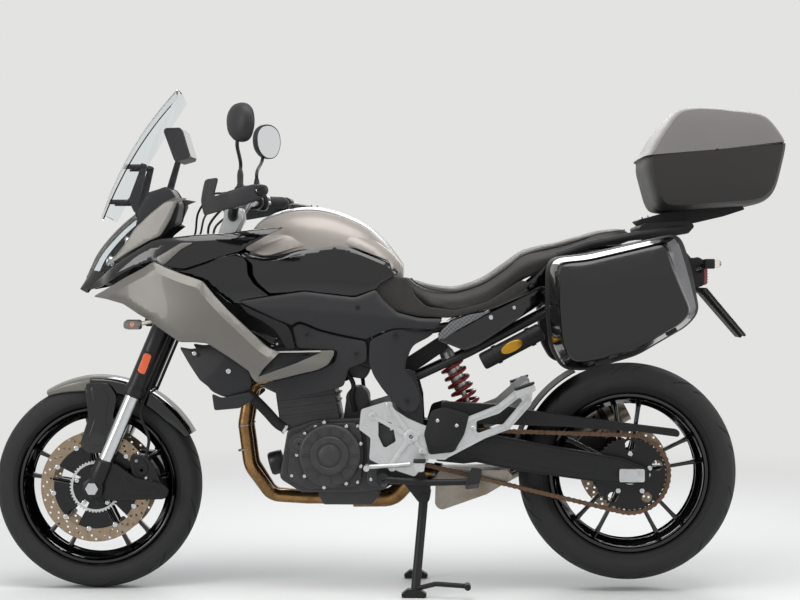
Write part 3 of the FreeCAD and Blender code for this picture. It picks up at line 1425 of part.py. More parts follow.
def wing_curves():
    """The long curves of a side wing's outer face."""
    low = [(-40, -60, 600), (60, -150, 600), (200, -212, 600), (400, -240, 600), (560, -226, 600), (720, -200, 600)]
    high = [(-40, -58, 960), (60, -146, 960), (200, -206, 960), (400, -232, 960), (560, -216, 960), (720, -190, 960)]
    return low, high


def make_wings():
    """The large side wings of the fairing, from the nose down past the radiator."""
    outline = [(-10, 852), (90, 905), (183, 949), (239, 926), (330, 890), (407, 816), (525, 704), (699, 701),
               (670, 650), (477, 608), (430, 640), (337, 716), (267, 720), (182, 772), (98, 834)]
    skin = panel(outline, *wing_curves(), size("panel_wall"), 12)
    rest = peg(wing_curves(), 372, 722, -150, 9, made["radiator"])
    keep("wing_fairings", both_sides(joined([skin, rest])))


def flank_curves():
    """The long curves of the upper fairing's black flank."""
    low = [(20, -110, 880), (120, -160, 880), (280, -196, 880), (440, -202, 880), (600, -196, 880)]
    high = [(20, -96, 1070), (120, -138, 1070), (280, -172, 1070), (440, -184, 1070), (600, -176, 1070)]
    return low, high


def make_upper_fairing():
    """Black flanks between the headlight and the tank, and the grey nose panels."""
    flank = [(60, 918), (217, 1012), (316, 1024), (458, 1040), (566, 1056), (500, 990), (425, 962), (300, 902), (180, 920)]
    side = panel(flank, *flank_curves(), size("panel_wall"), 10)
    side = joined([side, peg(flank_curves(), 484, 996, -100, 6, made["tank_sides"])])
    nose = [(108, 1040), (209, 1120), (229, 1113), (197, 1024), (165, 1006), (70, 950), (60, 962)]
    nose_low = [(20, -96, 930), (120, -128, 930), (240, -156, 930)]
    nose_high = [(20, -60, 1130), (120, -88, 1130), (240, -124, 1130)]
    cheek = panel(nose, nose_low, nose_high, size("panel_wall"), 8)
    cheek = joined([cheek, peg((nose_low, nose_high), 98, 1000, -40, 7, made["headlight"])])
    keep("upper_fairing", Part.makeCompound([side, mirrored(side), cheek, mirrored(cheek)]))


def make_nose():
    """Headlight unit in the nose, between the cheeks."""
    sections = []
    for behind, half, top, bottom in ((-40, 22, 896, 868), (0, 62, 950, 866), (60, 92, 1030, 872), (112, 104, 1080, 890)):
        sections.append(cross_section(behind, half, top, bottom, 0.86, 0.9))
    keep("headlight", section_loft(sections, True))


def screen_skin():
    """The screen's outer surface, curved across and swept back."""
    low = [(28, -118, 1070), (16, -60, 1082), (12, 0, 1086), (16, 60, 1082), (28, 118, 1070)]
    middle = [(134, -150, 1270), (112, -74, 1284), (106, 0, 1290), (112, 74, 1284), (134, 150, 1270)]
    high = [(240, -96, 1420), (232, -50, 1446), (228, 0, 1453), (232, 50, 1446), (240, 96, 1420)]
    wires = []
    for line in (low, middle, high):
        curve = Part.BSplineCurve()
        curve.interpolate([at(*point) for point in line])
        wires.append(Part.Wire(curve.toShape()))
    return Part.makeLoft(wires, False, False)


def make_screen():
    """The clear screen and the bracket that holds it and the display."""
    wall = size("screen_wall")
    keep("windscreen", screen_skin().extrude(V(wall, 0, 0)))
    frame = [(112, 1092), (150, 1150), (212, 1170), (240, 1118), (230, 1060), (190, 1050), (130, 1060)]
    cowl = slab(frame, -74, 74, 20)
    display = slab([(196, 1336), (250, 1338), (276, 1250), (232, 1238)], -84, 84, 10)
    post = slab([(196, 1160), (216, 1160), (240, 1250), (226, 1256)], -8, 8, 4)
    room = screen_skin().translated(V(wall + SEAT_GAP, 0, 0)).extrude(V(-200, 0, 0))
    arm = slab([(118, 1080), (96, 1130), (136, 1236), (150, 1232), (132, 1150)], -72, -62, 6)
    whole = [cowl, display, post, arm, mirrored(arm)]
    for side in (-67, 67):
        for behind, height in ((104, 1124), (142, 1226)):
            stub = rod(at(behind, side, height), at(behind - 90, side, height), 7).cut(room)
            whole.append(max(stub.Solids, key=lambda solid: solid.CenterOfMass.x))
    keep("cockpit", joined(whole))


def make_shrouds():
    """Matt covers beside the radiator."""
    outline = [(254, 711), (331, 717), (458, 632), (466, 584), (430, 534), (353, 522), (345, 561), (316, 589), (260, 674)]
    low = [(230, -176, 500), (340, -186, 500), (480, -196, 500)]
    high = [(230, -176, 740), (340, -186, 740), (480, -196, 740)]
    skin = panel(outline, low, high, size("panel_wall"), 12)
    rest = peg((low, high), 378, 640, -150, 9, made["radiator"])
    keep("radiator_shrouds", both_sides(joined([skin, rest])))


def make_side_covers():
    """Side covers below the tank and the covers over the frame's rear nodes."""
    outline = [(399, 842), (607, 866), (760, 850), (811, 866), (825, 833), (881, 801), (985, 779), (985, 765),
               (881, 764), (796, 727), (790, 660), (700, 620), (586, 640), (541, 704), (527, 744), (427, 815)]
    low = [(380, -190, 600), (520, -192, 600), (700, -188, 600), (860, -176, 600), (1000, -160, 600)]
    high = [(380, -182, 880), (520, -190, 880), (700, -192, 880), (860, -170, 880), (1000, -150, 880)]
    front = panel(outline, low, high, size("panel_wall"), 12)
    front = joined([front, peg((low, high), 660, 728, -100, 9, made["main_frame"])])
    rear_outline = [(806, 724), (872, 755), (975, 755), (938, 722), (898, 640), (928, 592), (928, 552), (884, 556), (814, 650)]
    rear_low = [(780, -172, 520), (880, -170, 520), (1000, -160, 520)]
    rear_high = [(780, -180, 780), (880, -168, 780), (1000, -152, 780)]
    rear = panel(rear_outline, rear_low, rear_high, size("panel_wall"), 10)
    rear = joined([rear, peg((rear_low, rear_high), 880, 612, -100, 8, made["main_frame"])])
    keep("side_covers", Part.makeCompound([front, mirrored(front), rear, mirrored(rear)]))


def make_tail():
    """Side panels of the tail, below the passenger seat."""
    outline = [(1000, 760), (1040, 786), (1137, 812), (1200, 848), (1266, 905), (1310, 955), (1420, 992), (1600, 1006),
               (1690, 990), (1716, 960), (1500, 910), (1320, 850), (1200, 770), (1080, 720)]
    low = [(980, -150, 700), (1150, -150, 700), (1350, -140, 700), (1550, -126, 700), (1740, -108, 700)]
    high = [(980, -150, 1030), (1150, -152, 1030), (1350, -140, 1030), (1550, -124, 1030), (1740, -104, 1030)]
    skin = panel(outline, low, high, size("panel_wall"), 12)
    for behind, height in case_stays():
        skin = skin.cut(disc_plate(at(behind, 0, height), size("case_stay_radius") + SEAT_GAP, -200, -90))
    keep("tail_panels", both_sides(skin))


def make_rack():
    """Grab rails with the luggage carrier plate between them."""
    rail = tube([at(1330, -156, 966), at(1420, -158, 998), at(1560, -158, 1026), at(1690, -140, 1046)], 12, 90)
    bridge = slab([(1560, 1050), (1582, 1060), (1700, 1066), (1720, 1052), (1700, 1030), (1580, 1016)], -150, 150, 8)
    plate = slab([(1562, 1070), (1600, 1080), (1640, 1091.6), (1862, 1108.2), (1868, 1100), (1806, 1080),
                  (1720, 1060), (1582, 1052)], -96, 96, 3)
    foot = on_top_of(rod(at(1600, -94, 980), at(1600, -94, 1040), 8), made["subframe"])
    keep("rear_rack", joined([rail, mirrored(rail), bridge, plate, foot, mirrored(foot)]))


# Luggage

def case_hinge(centre, along, to_wall, to_base, bite):
    """A hinge outside a case's split: two knuckles and the pin on the base, one knuckle on the lid."""
    radius = size("hinge_radius")
    half = size("hinge_length") / 2
    third = half / 3
    step = 0.8

    def knuckle(start, end, way):
        corners = []
        root = size("hinge_reach") + bite
        for reach, side in ((0, step), (0, radius), (root, radius), (root, step)):
            corners.append(centre + along * start + to_wall * reach + way * side)
        web = Part.Face(Part.makePolygon(corners + [corners[0]])).extrude(along * (end - start))
        return joined([rod(centre + along * start, centre + along * end, radius), web])

    first = centre - along * half
    last = centre + along * half
    pin = rod(first, last, size("hinge_pin_radius"))
    base = [knuckle(-half, -third - SEAT_GAP, to_base), knuckle(third + SEAT_GAP, half, to_base), pin]
    bore = rod(first, last, size("hinge_pin_radius") + size("running_fit"))
    return base, [knuckle(-third, third, -to_base).cut(bore)]


def rounded_rim(inset):
    """Steps round a case's outer rim: how far in from its face, and how much its outline shrinks."""
    edge = size("case_edge")
    halfway = edge * (1 - math.cos(math.pi / 4))
    return [(edge, inset), (halfway, inset + halfway), (0, inset + edge)]


def pannier_solid(inset):
    """A side case grown from its inner to its outer outline, moved in by an inset."""
    inner_outline = [(1290, 930), (1306, 962), (1400, 972), (1640, 1026), (1664, 1010), (1690, 930), (1712, 812),
                     (1680, 772), (1540, 690), (1400, 648), (1334, 652), (1300, 712), (1290, 820)]
    outer_outline = [(1318, 930), (1334, 944), (1400, 950), (1600, 998), (1612, 990), (1630, 920), (1676, 812),
                     (1650, 780), (1530, 712), (1400, 676), (1350, 678), (1326, 730), (1318, 820)]
    inner_place = -size("pannier_inner_place") - inset
    split_place = -size("pannier_split_place")
    outer_place = -size("pannier_outer_place") + inset
    sections = [(inner_outline, inner_place, inset), (inner_outline, split_place - 30, inset)]
    for depth, shrink in rounded_rim(inset):
        sections.append((outer_outline, outer_place + depth, shrink))
    wires = []
    for outline, side, shrink in sections:
        wire = side_wire(outline, side, 16)
        wires.append(wire.makeOffset2D(-shrink) if shrink else wire)
    return Part.makeLoft(wires, True, True)


def make_panniers():
    """Side cases: a shell fixed to the machine and a hinged outer lid, both hollow."""
    wall = size("case_wall")
    shell = pannier_solid(0).cut(pannier_solid(wall))
    split = size("pannier_split_place")
    gap = size("lid_gap") / 2
    inboard = Part.makeBox(2000, 600, 2000, V(0, -split + gap, 0))
    outboard = Part.makeBox(2000, 600, 2000, V(0, -split - gap - 600, 0))
    base = [shell.common(inboard)]
    lid = [shell.common(outboard)]
    low = at(1400, -split, 648)
    along = (at(1540, -split, 690) - low).normalize()
    to_wall = ACROSS.cross(along) * -1
    for place in (36, 110):
        centre = low + along * place - to_wall * size("hinge_reach")
        base_knuckles, lid_knuckles = case_hinge(centre, along, to_wall, ACROSS, wall / 2)
        base += base_knuckles
        lid += lid_knuckles
    base = joined(base)
    lid = joined(lid)
    keep("left_case_base", base)
    keep("left_case_lid", lid)
    keep("right_case_base", mirrored(base))
    keep("right_case_lid", mirrored(lid))


def top_case_solid(inset):
    """The top case as one body, narrower towards its two ends."""
    outline = [(1571, 1240), (1608, 1104), (1640, 1092), (1907, 1112), (1946, 1146), (1974, 1262), (1976, 1290),
               (1934, 1350), (1901, 1372), (1739, 1390), (1663, 1384), (1614, 1316)]
    half = size("top_case_half_width")
    centre = at(1772, 0, 1240)
    left = [(-half + 44, 1.0, inset)]
    for depth, shrink in rounded_rim(inset):
        left.append((-half + inset + depth, 0.88, shrink))
    right = [(-side, scale, shrink) for side, scale, shrink in left]
    wires = []
    for side, scale, shrink in list(reversed(left)) + right:
        corners = []
        for behind, height in outline:
            point = at(behind, 0, height) - centre
            corners.append(centre + V(point.x * scale, side, point.z * scale))
        wire = rounded_wire(corners, 26)
        wires.append(wire.makeOffset2D(-shrink) if shrink else wire)
    return Part.makeLoft(wires, True, True)


def make_top_case():
    """The top case's lower shell on the carrier plate and its hinged lid."""
    wall = size("case_wall")
    shell = top_case_solid(0).cut(top_case_solid(wall))
    gap = size("lid_gap") / 2
    lean = math.degrees(math.atan2(1282 - 1247, 1976 - 1571))
    split = at(1571, 0, 1247)
    turn = FreeCAD.Rotation(ACROSS, -lean)
    above = Part.makeBox(900, 900, 400, V(-200, -450, gap))
    above.Placement = FreeCAD.Placement(split, turn)
    below = Part.makeBox(900, 900, 400, V(-200, -450, -400 - gap))
    below.Placement = FreeCAD.Placement(split, turn)
    base = [shell.common(below)]
    lid = [shell.common(above)]
    to_wall = turn.multVec(V(1, 0, 0))
    to_base = turn.multVec(V(0, 0, -1))
    front = split - to_wall * (size("hinge_reach") - 1.8)
    for side in (-100, 100):
        base_knuckles, lid_knuckles = case_hinge(front + V(0, side, 0), ACROSS, to_wall, to_base, wall)
        base += base_knuckles
        lid += lid_knuckles
    keep("top_case_base", joined(base))
    keep("top_case_lid", joined(lid))


# Lamps and number plate

def make_lamps():
    """Turn signals on their stalks, the tail light and the number plate's holder."""
    front = slab([(106, 760), (150, 760), (150, 784), (106, 784)], -228, -184, 9)
    front_stalk = rod(at(140, -188, 772), at(208, -188, 788), 6)
    foot = disc_plate(at(208, 0, 788), 9, -240, -186).cut(outboard_room(wing_curves(), size("panel_wall")))
    front = joined([front, front_stalk, foot])
    light = slab([(1694, 948), (1740, 962), (1766, 944), (1766, 886), (1744, 880), (1694, 884)], -62, 62, 8)
    rear = slab([(1748, 932), (1792, 932), (1792, 956), (1748, 956)], -162, -118, 9)
    rear_stalk = rod(at(1765, -125, 944), at(1730, -50, 925), 6).cut(widened(light, SEAT_GAP))
    rear_stalk = min(rear_stalk.Solids, key=lambda solid: solid.CenterOfMass.y)
    rear = joined([rear, rear_stalk])
    keep("turn_signals", Part.makeCompound([front, mirrored(front), rear, mirrored(rear)]))
    keep("tail_light", light)
    face = 1694 - SEAT_GAP
    start = 1612 + size("subframe_radius") + SEAT_GAP
    holder = slab([(start, 985), (start, 1006), (1650, 1006), (face, 960), (face, 883), (1740, 879), (1760, 868),
                   (1868, 736), (1862, 731), (1752, 858), (1736, 866), (1680, 872), (1678, 950), (1645, 985)], -50, 50, 2)
    plate = slab([(1752, 872), (1756, 875), (1870, 740), (1866, 737)], -110, 110, 0.5)
    whole = joined([holder, plate])
    face_normal = V(865 - 751, 0, 735 - 870).normalize().cross(ACROSS)
    for side in (-1, 1):
        centre = at(1812, side * size("plate_screw_spacing") / 2, 805)
        drill = rod(centre - face_normal * 30, centre + face_normal * 30, size("plate_screw_radius"))
        whole = whole.cut(drill)
    keep("plate_holder", whole)


make_wheels()
make_axles()
make_chain()
make_rear_sprocket()
make_fork()
make_clamps()
make_handlebar()
make_controls()
make_hand_guards()
make_mirrors()
make_front_brakes()
make_front_mudguard()
make_brake_hoses()
make_tank()
make_seat()
make_main_frame()
make_subframe()
make_engine()
make_engine_covers()
make_exhaust()
make_radiator()
make_swingarm()
make_shock()
make_hugger()
make_rear_brake()
make_centre_stand()
make_side_stand()
make_footrests()
make_tank_sides()
make_wings()
make_nose()
make_upper_fairing()
make_screen()
make_front_stay()
make_shrouds()
make_side_covers()
make_tail()
make_rack()
make_panniers()
make_top_case()
make_lamps()

doc.recompute()
for item in doc.Objects:
    if "Invalid" in item.State or "Error" in item.State:
        raise RuntimeError(f"{item.Name} did not compute")
for part in sub_parts:
    if part.Shape.isNull() or not part.Shape.isValid():
        raise RuntimeError(f"{part.Label} has no valid shape")
    part.Shape.exportStep(f"parts/{part.Label}.step")
    print(part.Label, len(part.Shape.Solids), round(part.Shape.Volume / 1000), "cm3")
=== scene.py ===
"""Looks of an adventure motorcycle on its centre stand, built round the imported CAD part."""

import json
import math

import bmesh
import bpy
import numpy as np
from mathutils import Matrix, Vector
from mathutils.geometry import delaunay_2d_cdt

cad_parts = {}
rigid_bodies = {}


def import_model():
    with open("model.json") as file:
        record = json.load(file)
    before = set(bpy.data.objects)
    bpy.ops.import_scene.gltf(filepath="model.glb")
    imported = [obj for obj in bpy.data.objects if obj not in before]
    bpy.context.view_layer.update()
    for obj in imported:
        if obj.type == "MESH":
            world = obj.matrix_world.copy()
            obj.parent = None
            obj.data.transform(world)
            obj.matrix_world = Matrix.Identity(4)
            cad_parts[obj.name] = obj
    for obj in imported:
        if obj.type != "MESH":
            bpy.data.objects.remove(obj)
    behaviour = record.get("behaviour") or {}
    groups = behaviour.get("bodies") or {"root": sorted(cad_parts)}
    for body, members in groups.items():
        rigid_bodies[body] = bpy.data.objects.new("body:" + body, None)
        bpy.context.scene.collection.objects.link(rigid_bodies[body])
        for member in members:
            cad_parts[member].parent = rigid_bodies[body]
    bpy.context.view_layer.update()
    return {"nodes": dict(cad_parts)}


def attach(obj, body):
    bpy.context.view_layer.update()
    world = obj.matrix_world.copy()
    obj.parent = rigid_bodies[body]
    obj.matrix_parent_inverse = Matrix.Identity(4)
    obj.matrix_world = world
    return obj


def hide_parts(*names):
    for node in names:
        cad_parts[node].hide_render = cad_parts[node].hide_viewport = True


for item in list(bpy.data.objects):
    bpy.data.objects.remove(item)
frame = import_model()
nodes = frame["nodes"]
scene = bpy.context.scene
scene.view_settings.view_transform = "Standard"


# Camera
# The photograph looks at the machine's left side from about chest height, nearly square on.

AHEAD = 838.0


def metres(points):
    """Points as (behind the front axle, side, height) in millimetres, moved to the frame's metres."""
    return (np.asarray(points, float) - (AHEAD, 0, 0)) / 1000


camera_data = bpy.data.cameras.new("camera")
camera_data.lens = 89.2
camera_data.sensor_width = 36
camera_data.clip_end = 60
camera = bpy.data.objects.new("camera", camera_data)
camera.location = metres((1012.7, -5787, 903.4))
camera.rotation_euler = (math.pi / 2 - 0.011, 0, 0.023)
scene.collection.objects.link(camera)
scene.camera = camera


# Studio
# A pale floor that fades into a pale backdrop, lit by wide soft lights from above and both ends.

def feed(part, inputs):
    """Give a shader node's inputs their values, or a link where the value is another node's output."""
    for name, value in inputs.items():
        if isinstance(value, bpy.types.NodeSocket):
            part.id_data.links.new(value, part.inputs[name])
        else:
            part.inputs[name].default_value = value


def node_of(tree, kind, inputs=(), operation=None):
    """A new shader node of a kind, with its operation and its inputs. A Mix node mixes colours."""
    part = tree.nodes.new(kind)
    if operation:
        part.operation = operation
    if kind == "ShaderNodeMix":
        part.data_type = "RGBA"
    feed(part, dict(inputs))
    return part


def new_material(name, inputs=()):
    """A node material and its surface shader, whose inputs take the values."""
    material = bpy.data.materials.new(name)
    material.use_nodes = True
    shader = material.node_tree.nodes["Principled BSDF"]
    feed(shader, dict(inputs))
    return material, shader


def srgb(code):
    """The linear colour of a hex code."""
    shares = [int(code[start:start + 2], 16) / 255 for start in (1, 3, 5)]
    return [c / 12.92 if c <= 0.04045 else ((c + 0.055) / 1.055) ** 2.4 for c in shares] + [1.0]


def seen_directly(tree):
    """One where a ray comes from the camera, a gloss or a glass, and nought for the rest."""
    ray = tree.nodes.new("ShaderNodeLightPath").outputs
    both = node_of(tree, "ShaderNodeMath", {0: ray["Is Camera Ray"], 1: ray["Is Glossy Ray"]}, "MAXIMUM")
    every = node_of(tree, "ShaderNodeMath", {0: both.outputs[0], 1: ray["Is Transmission Ray"]}, "MAXIMUM")
    return every.outputs[0]


PALE = srgb("#e3e3e1")
FLOOR_HALF = 16.0
corners = [(x * FLOOR_HALF, y * FLOOR_HALF, 0) for x, y in ((-1, -1), (1, -1), (1, 1), (-1, 1))]
floor_mesh = bpy.data.meshes.new("floor")
floor_mesh.from_pydata(corners, [], [(0, 1, 2, 3)])
floor = bpy.data.objects.new("floor", floor_mesh)
floor.location.z = -0.0005
floor_paint, shader = new_material("floor", {"Base Color": PALE, "Roughness": 0.6, "Specular IOR Level": 0.25})
tree = floor_paint.node_tree
place = tree.nodes.new("ShaderNodeTexCoord")
far = node_of(tree, "ShaderNodeVectorMath", {0: place.outputs["Object"]}, "LENGTH")
fade = node_of(tree, "ShaderNodeMapRange", {"From Min": 1.5, "From Max": 5.0, "Value": far.outputs["Value"]})
fade.interpolation_type = "SMOOTHSTEP"
share = node_of(tree, "ShaderNodeMath", {0: fade.outputs["Result"], 1: seen_directly(tree)}, "MULTIPLY")
glow = node_of(tree, "ShaderNodeEmission", {"Color": PALE})
mix = node_of(tree, "ShaderNodeMixShader",
              {"Fac": share.outputs[0], 1: shader.outputs["BSDF"], 2: glow.outputs["Emission"]})
feed(tree.nodes["Material Output"], {"Surface": mix.outputs["Shader"]})
floor_mesh.materials.append(floor_paint)
scene.collection.objects.link(floor)

world = bpy.data.worlds.new("studio")
world.use_nodes = True
scene.world = world
tree = world.node_tree
room = tree.nodes["Background"]
feed(room, {"Color": (0.82, 0.86, 0.92, 1), "Strength": 0.5})
backdrop = node_of(tree, "ShaderNodeBackground", {"Color": PALE})
mix = node_of(tree, "ShaderNodeMixShader",
              {"Fac": seen_directly(tree), 1: room.outputs["Background"], 2: backdrop.outputs["Background"]})
feed(tree.nodes["World Output"], {"Surface": mix.outputs["Shader"]})

for name, spot, aim, width, height, power in (
    ("light_top", (0.2, -1.0, 3.4), (0.1, 0, 0.6), 3.6, 2.0, 88),
    ("light_front", (-3.4, -2.6, 1.9), (-0.2, 0, 0.7), 1.6, 2.4, 58),
    ("light_rear", (3.6, -1.4, 2.0), (0.4, 0, 0.8), 1.4, 2.2, 42),
    ("light_back", (0.4, 3.2, 2.6), (0.1, 0, 0.7), 3.2, 1.2, 52),
):
    lamp = bpy.data.lights.new(name, "AREA")
    lamp.shape = "RECTANGLE"
    lamp.size = width
    lamp.size_y = height
    lamp.energy = power
    light = bpy.data.objects.new(name, lamp)
    light.location = spot
    light.rotation_euler = (Vector(aim) - Vector(spot)).to_track_quat("-Z", "Y").to_euler()
    scene.collection.objects.link(light)


# Tyres
# Two tubeless road tyres: moulded rubber with slanted rain grooves, ribbed shoulders and smooth sidewalls.

def finish_of(name, colour, rough, metal=0.0, coat=0.0, grain=0.0, fine=900, uneven=0.0, patch=24, stain=None,
              stained=0.35, shine=0.35):
    """A surface from its colour, roughness, metal and shine, with a fine raised grain, and with patches
    that differ in sheen and, where a stain is named, in colour."""
    material, shader = new_material(name, {"Base Color": srgb(colour), "Roughness": rough, "Metallic": metal,
                                           "Specular IOR Level": shine, "Coat Weight": coat, "Coat Roughness": 0.04})
    tree = material.node_tree
    place = tree.nodes.new("ShaderNodeTexCoord").outputs["Object"]
    if grain:
        pores = node_of(tree, "ShaderNodeTexNoise", {"Scale": fine, "Detail": 3, "Vector": place}).outputs["Fac"]
        bump = node_of(tree, "ShaderNodeBump", {"Strength": grain, "Distance": 0.001, "Height": pores})
        feed(shader, {"Normal": bump.outputs["Normal"]})
    if uneven or stain:
        clouds = node_of(tree, "ShaderNodeTexNoise", {"Scale": patch, "Detail": 6, "Roughness": 0.65, "Vector": place})
        clouds = clouds.outputs["Fac"]
    if uneven:
        span = node_of(tree, "ShaderNodeMapRange", {"From Min": 0.3, "From Max": 0.7, "Value": clouds,
                                                    "To Min": max(rough - uneven, 0.02), "To Max": rough + uneven})
        feed(shader, {"Roughness": span.outputs["Result"]})
    if stain:
        spread = node_of(tree, "ShaderNodeMapRange",
                         {"From Min": 0.48, "From Max": 0.72, "To Max": stained, "Value": clouds}).outputs["Result"]
        blend = node_of(tree, "ShaderNodeMix", {"Factor": spread, "A": srgb(colour), "B": srgb(stain)})
        feed(shader, {"Base Color": blend.outputs["Result"]})
    return material


def paint(material, names):
    """Give every slot of the named CAD nodes one finish."""
    for name in names.split():
        for slot in nodes[name].material_slots:
            slot.material = material


def add_piece(name, parts, finishes, body, stands_for=(), crease=35, weld=0.00002):
    """One piece from parts of (points in millimetres, faces, finish number): welded, turned outwards,
    shaded smooth up to the crease angle, and carried by its body."""
    points, faces, kinds = [], [], []
    start = 0
    for part in parts:
        faces += [[start + corner for corner in face] for face in part[1]]
        kind = part[2] if len(part) > 2 else 0
        kinds += list(kind) if np.ndim(kind) else [kind] * len(part[1])
        points.append(part[0])
        start += len(part[0])
    mesh = bpy.data.meshes.new(name)
    mesh.from_pydata(metres(np.concatenate(points)).tolist(), [], faces)
    for finish in finishes:
        mesh.materials.append(finish)
    mesh.polygons.foreach_set("material_index", kinds)
    form = bmesh.new()
    form.from_mesh(mesh)
    bmesh.ops.remove_doubles(form, verts=form.verts, dist=weld)
    bmesh.ops.dissolve_degenerate(form, edges=form.edges, dist=weld / 2)
    bmesh.ops.recalc_face_normals(form, faces=form.faces)
    form.to_mesh(mesh)
    form.free()
    mesh.polygons.foreach_set("use_smooth", np.ones(len(mesh.polygons), bool))
    mesh.set_sharp_from_angle(angle=math.radians(crease))
    piece = bpy.data.objects.new(name, mesh)
    scene.collection.objects.link(piece)
    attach(piece, body)
    if stands_for:
        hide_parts(*stands_for)
    return piece


def mirrored(parts):
    """The same parts and their twins on the right side."""
    return parts + [(part[0] * (1, -1, 1), *part[1:]) for part in parts]


def quads(rows, columns, rows_close=False, columns_close=False):
    """The four-cornered faces of a grid whose points lie row by row."""
    row = np.arange(rows if rows_close else rows - 1)[:, None]
    column = np.arange(columns if columns_close else columns - 1)[None, :]
    next_row = (row + 1) % rows
    next_column = (column + 1) % columns
    corners = (row * columns + column, next_row * columns + column,
               next_row * columns + next_column, row * columns + next_column)
    return np.stack(np.broadcast_arrays(*corners), -1).reshape(-1, 4).tolist()


def smooth_line(points, count):
    """A smooth line through the points: a Catmull-Rom curve, whose slope at a point is half the step
    between its two neighbours."""
    points = np.asarray(points, float)
    spans = len(points) - 1
    padded = np.concatenate([2 * points[:1] - points[1:2], points, 2 * points[-1:] - points[-2:-1]])
    steps = np.linspace(0, spans, count)
    span = np.minimum(steps.astype(int), spans - 1)
    share = (steps - span).reshape(-1, *[1] * (points.ndim - 1))
    a, b, c, d = (padded[span + shift] for shift in range(4))
    return b + share / 2 * (c - a + share * (2 * a - 5 * b + 4 * c - d + share * (3 * b - a - 3 * c + d)))


def turned(profile, centre, turns=96, closed=True):
    """A profile of (radius, side) points in millimetres, turned about an axis that lies across the machine."""
    angle = np.linspace(0, 2 * np.pi, turns, endpoint=False)[:, None]
    radius, side = np.asarray(profile, float).T
    grid = np.stack(np.broadcast_arrays(centre[0] + radius * np.cos(angle), centre[1] + side + 0 * angle,
                                        centre[2] + radius * np.sin(angle)), -1)
    return grid.reshape(-1, 3), quads(turns, len(profile), True, closed)


FRONT = (0.0, 0.0, 300.0)
REAR = (1540.0, 0.0, 343.0)
BEAD_RADIUS = 218
tyre_rubber = finish_of("tyre_rubber", "#232324", 0.74, grain=0.2, uneven=0.08, stain="#3a3835", stained=0.3)


def tyre(name, centre, radius, half, bead_half, body):
    """Rubber turned round the axle. Its radius is the section's, less a groove where the slanted lines
    run, and the columns of points lean back with the distance from the crown, as the grooves do."""
    wall = radius - BEAD_RADIUS
    right = [(radius, 0), (radius - 0.022 * wall, 0.34 * half), (radius - 0.10 * wall, 0.68 * half),
             (radius - 0.25 * wall, 0.93 * half), (radius - 0.45 * wall, half), (radius - 0.64 * wall, 0.965 * half),
             (BEAD_RADIUS + 15, bead_half + 1), (BEAD_RADIUS + 1, bead_half - 1)]
    section = smooth_line(right, 50)
    section = np.concatenate([section[:0:-1] * (1, -1), section])
    run = np.abs(np.linspace(-1, 1, len(section)))
    ridge = 1.1 * np.exp(-((run - 0.74) / 0.012) ** 2) + 0.9 * np.exp(-((run - 0.80) / 0.012) ** 2)
    section[:, 1] += np.sign(section[:, 1]) * ridge
    periods = 40
    stops = np.array([0, 0.14, 0.28, 0.405, 0.43, 0.5, 0.57, 0.595, 0.72, 0.86])
    depth = np.array([0, 0, 0, 0, 5.0, 5.4, 5.0, 0, 0, 0])
    column = (np.arange(periods)[:, None] + stops).reshape(-1)
    period = np.repeat(np.arange(periods), len(stops))
    deep = np.tile(depth, periods)
    lean = 1.9 * np.minimum(run / 0.5, 1.4) ** 1.3
    angle = 2 * np.pi * (column[:, None] + lean) / periods
    left = section[:, 1] < 0
    begin = np.where(period % 2 == 0, 0.03, 0.11)[:, None]
    stop = np.where(period % 2 == 0, 0.36, 0.46)[:, None]
    in_reach = np.clip((run - begin) / 0.02, 0, 1) * np.clip((stop - run) / 0.03, 0, 1)
    on_side = np.where(left, (period % 4 < 2)[:, None], (period % 4 >= 2)[:, None])
    reach = section[:, 0] - deep[:, None] * in_reach * on_side
    grid = np.stack([centre[0] + reach * np.cos(angle), np.broadcast_to(section[:, 1], angle.shape),
                     centre[2] + reach * np.sin(angle)], -1)
    part = (grid.reshape(-1, 3), quads(len(column), len(section), True, True))
    add_piece(f"{name}_dressed", [part], [tyre_rubber], body, [name], crease=28)


tyre("front_tyre", FRONT, 300, 60, 45, "front_wheel")
tyre("rear_tyre", REAR, 315, 90, 70, "rear_wheel")


# Wheels
# Cast alloy wheels in gloss black: a rim with rolled flanges, five pairs of slim spokes and a hub.

gloss_black = finish_of("gloss_black", "#050506", 0.12, coat=0.45, uneven=0.03, patch=60, shine=0.4)


def lofted(rings):
    """Rings of points, each joined to the next by a band of faces, with a flat face at both ends."""
    rings = np.asarray(rings, float)
    count = rings.shape[1]
    faces = quads(len(rings), count, False, True)
    faces += [list(range(count)), list(range((len(rings) - 1) * count, len(rings) * count))]
    return rings.reshape(-1, 3), faces


def pillow(count):
    """A rounded square ring of width two: the cosine and sine of an even turn, both swelled by a power."""
    turn = np.linspace(0, 2 * np.pi, count, endpoint=False) + 0.0001
    wave = np.stack([np.cos(turn), np.sin(turn)], -1)
    return np.sign(wave) * np.abs(wave) ** 0.625


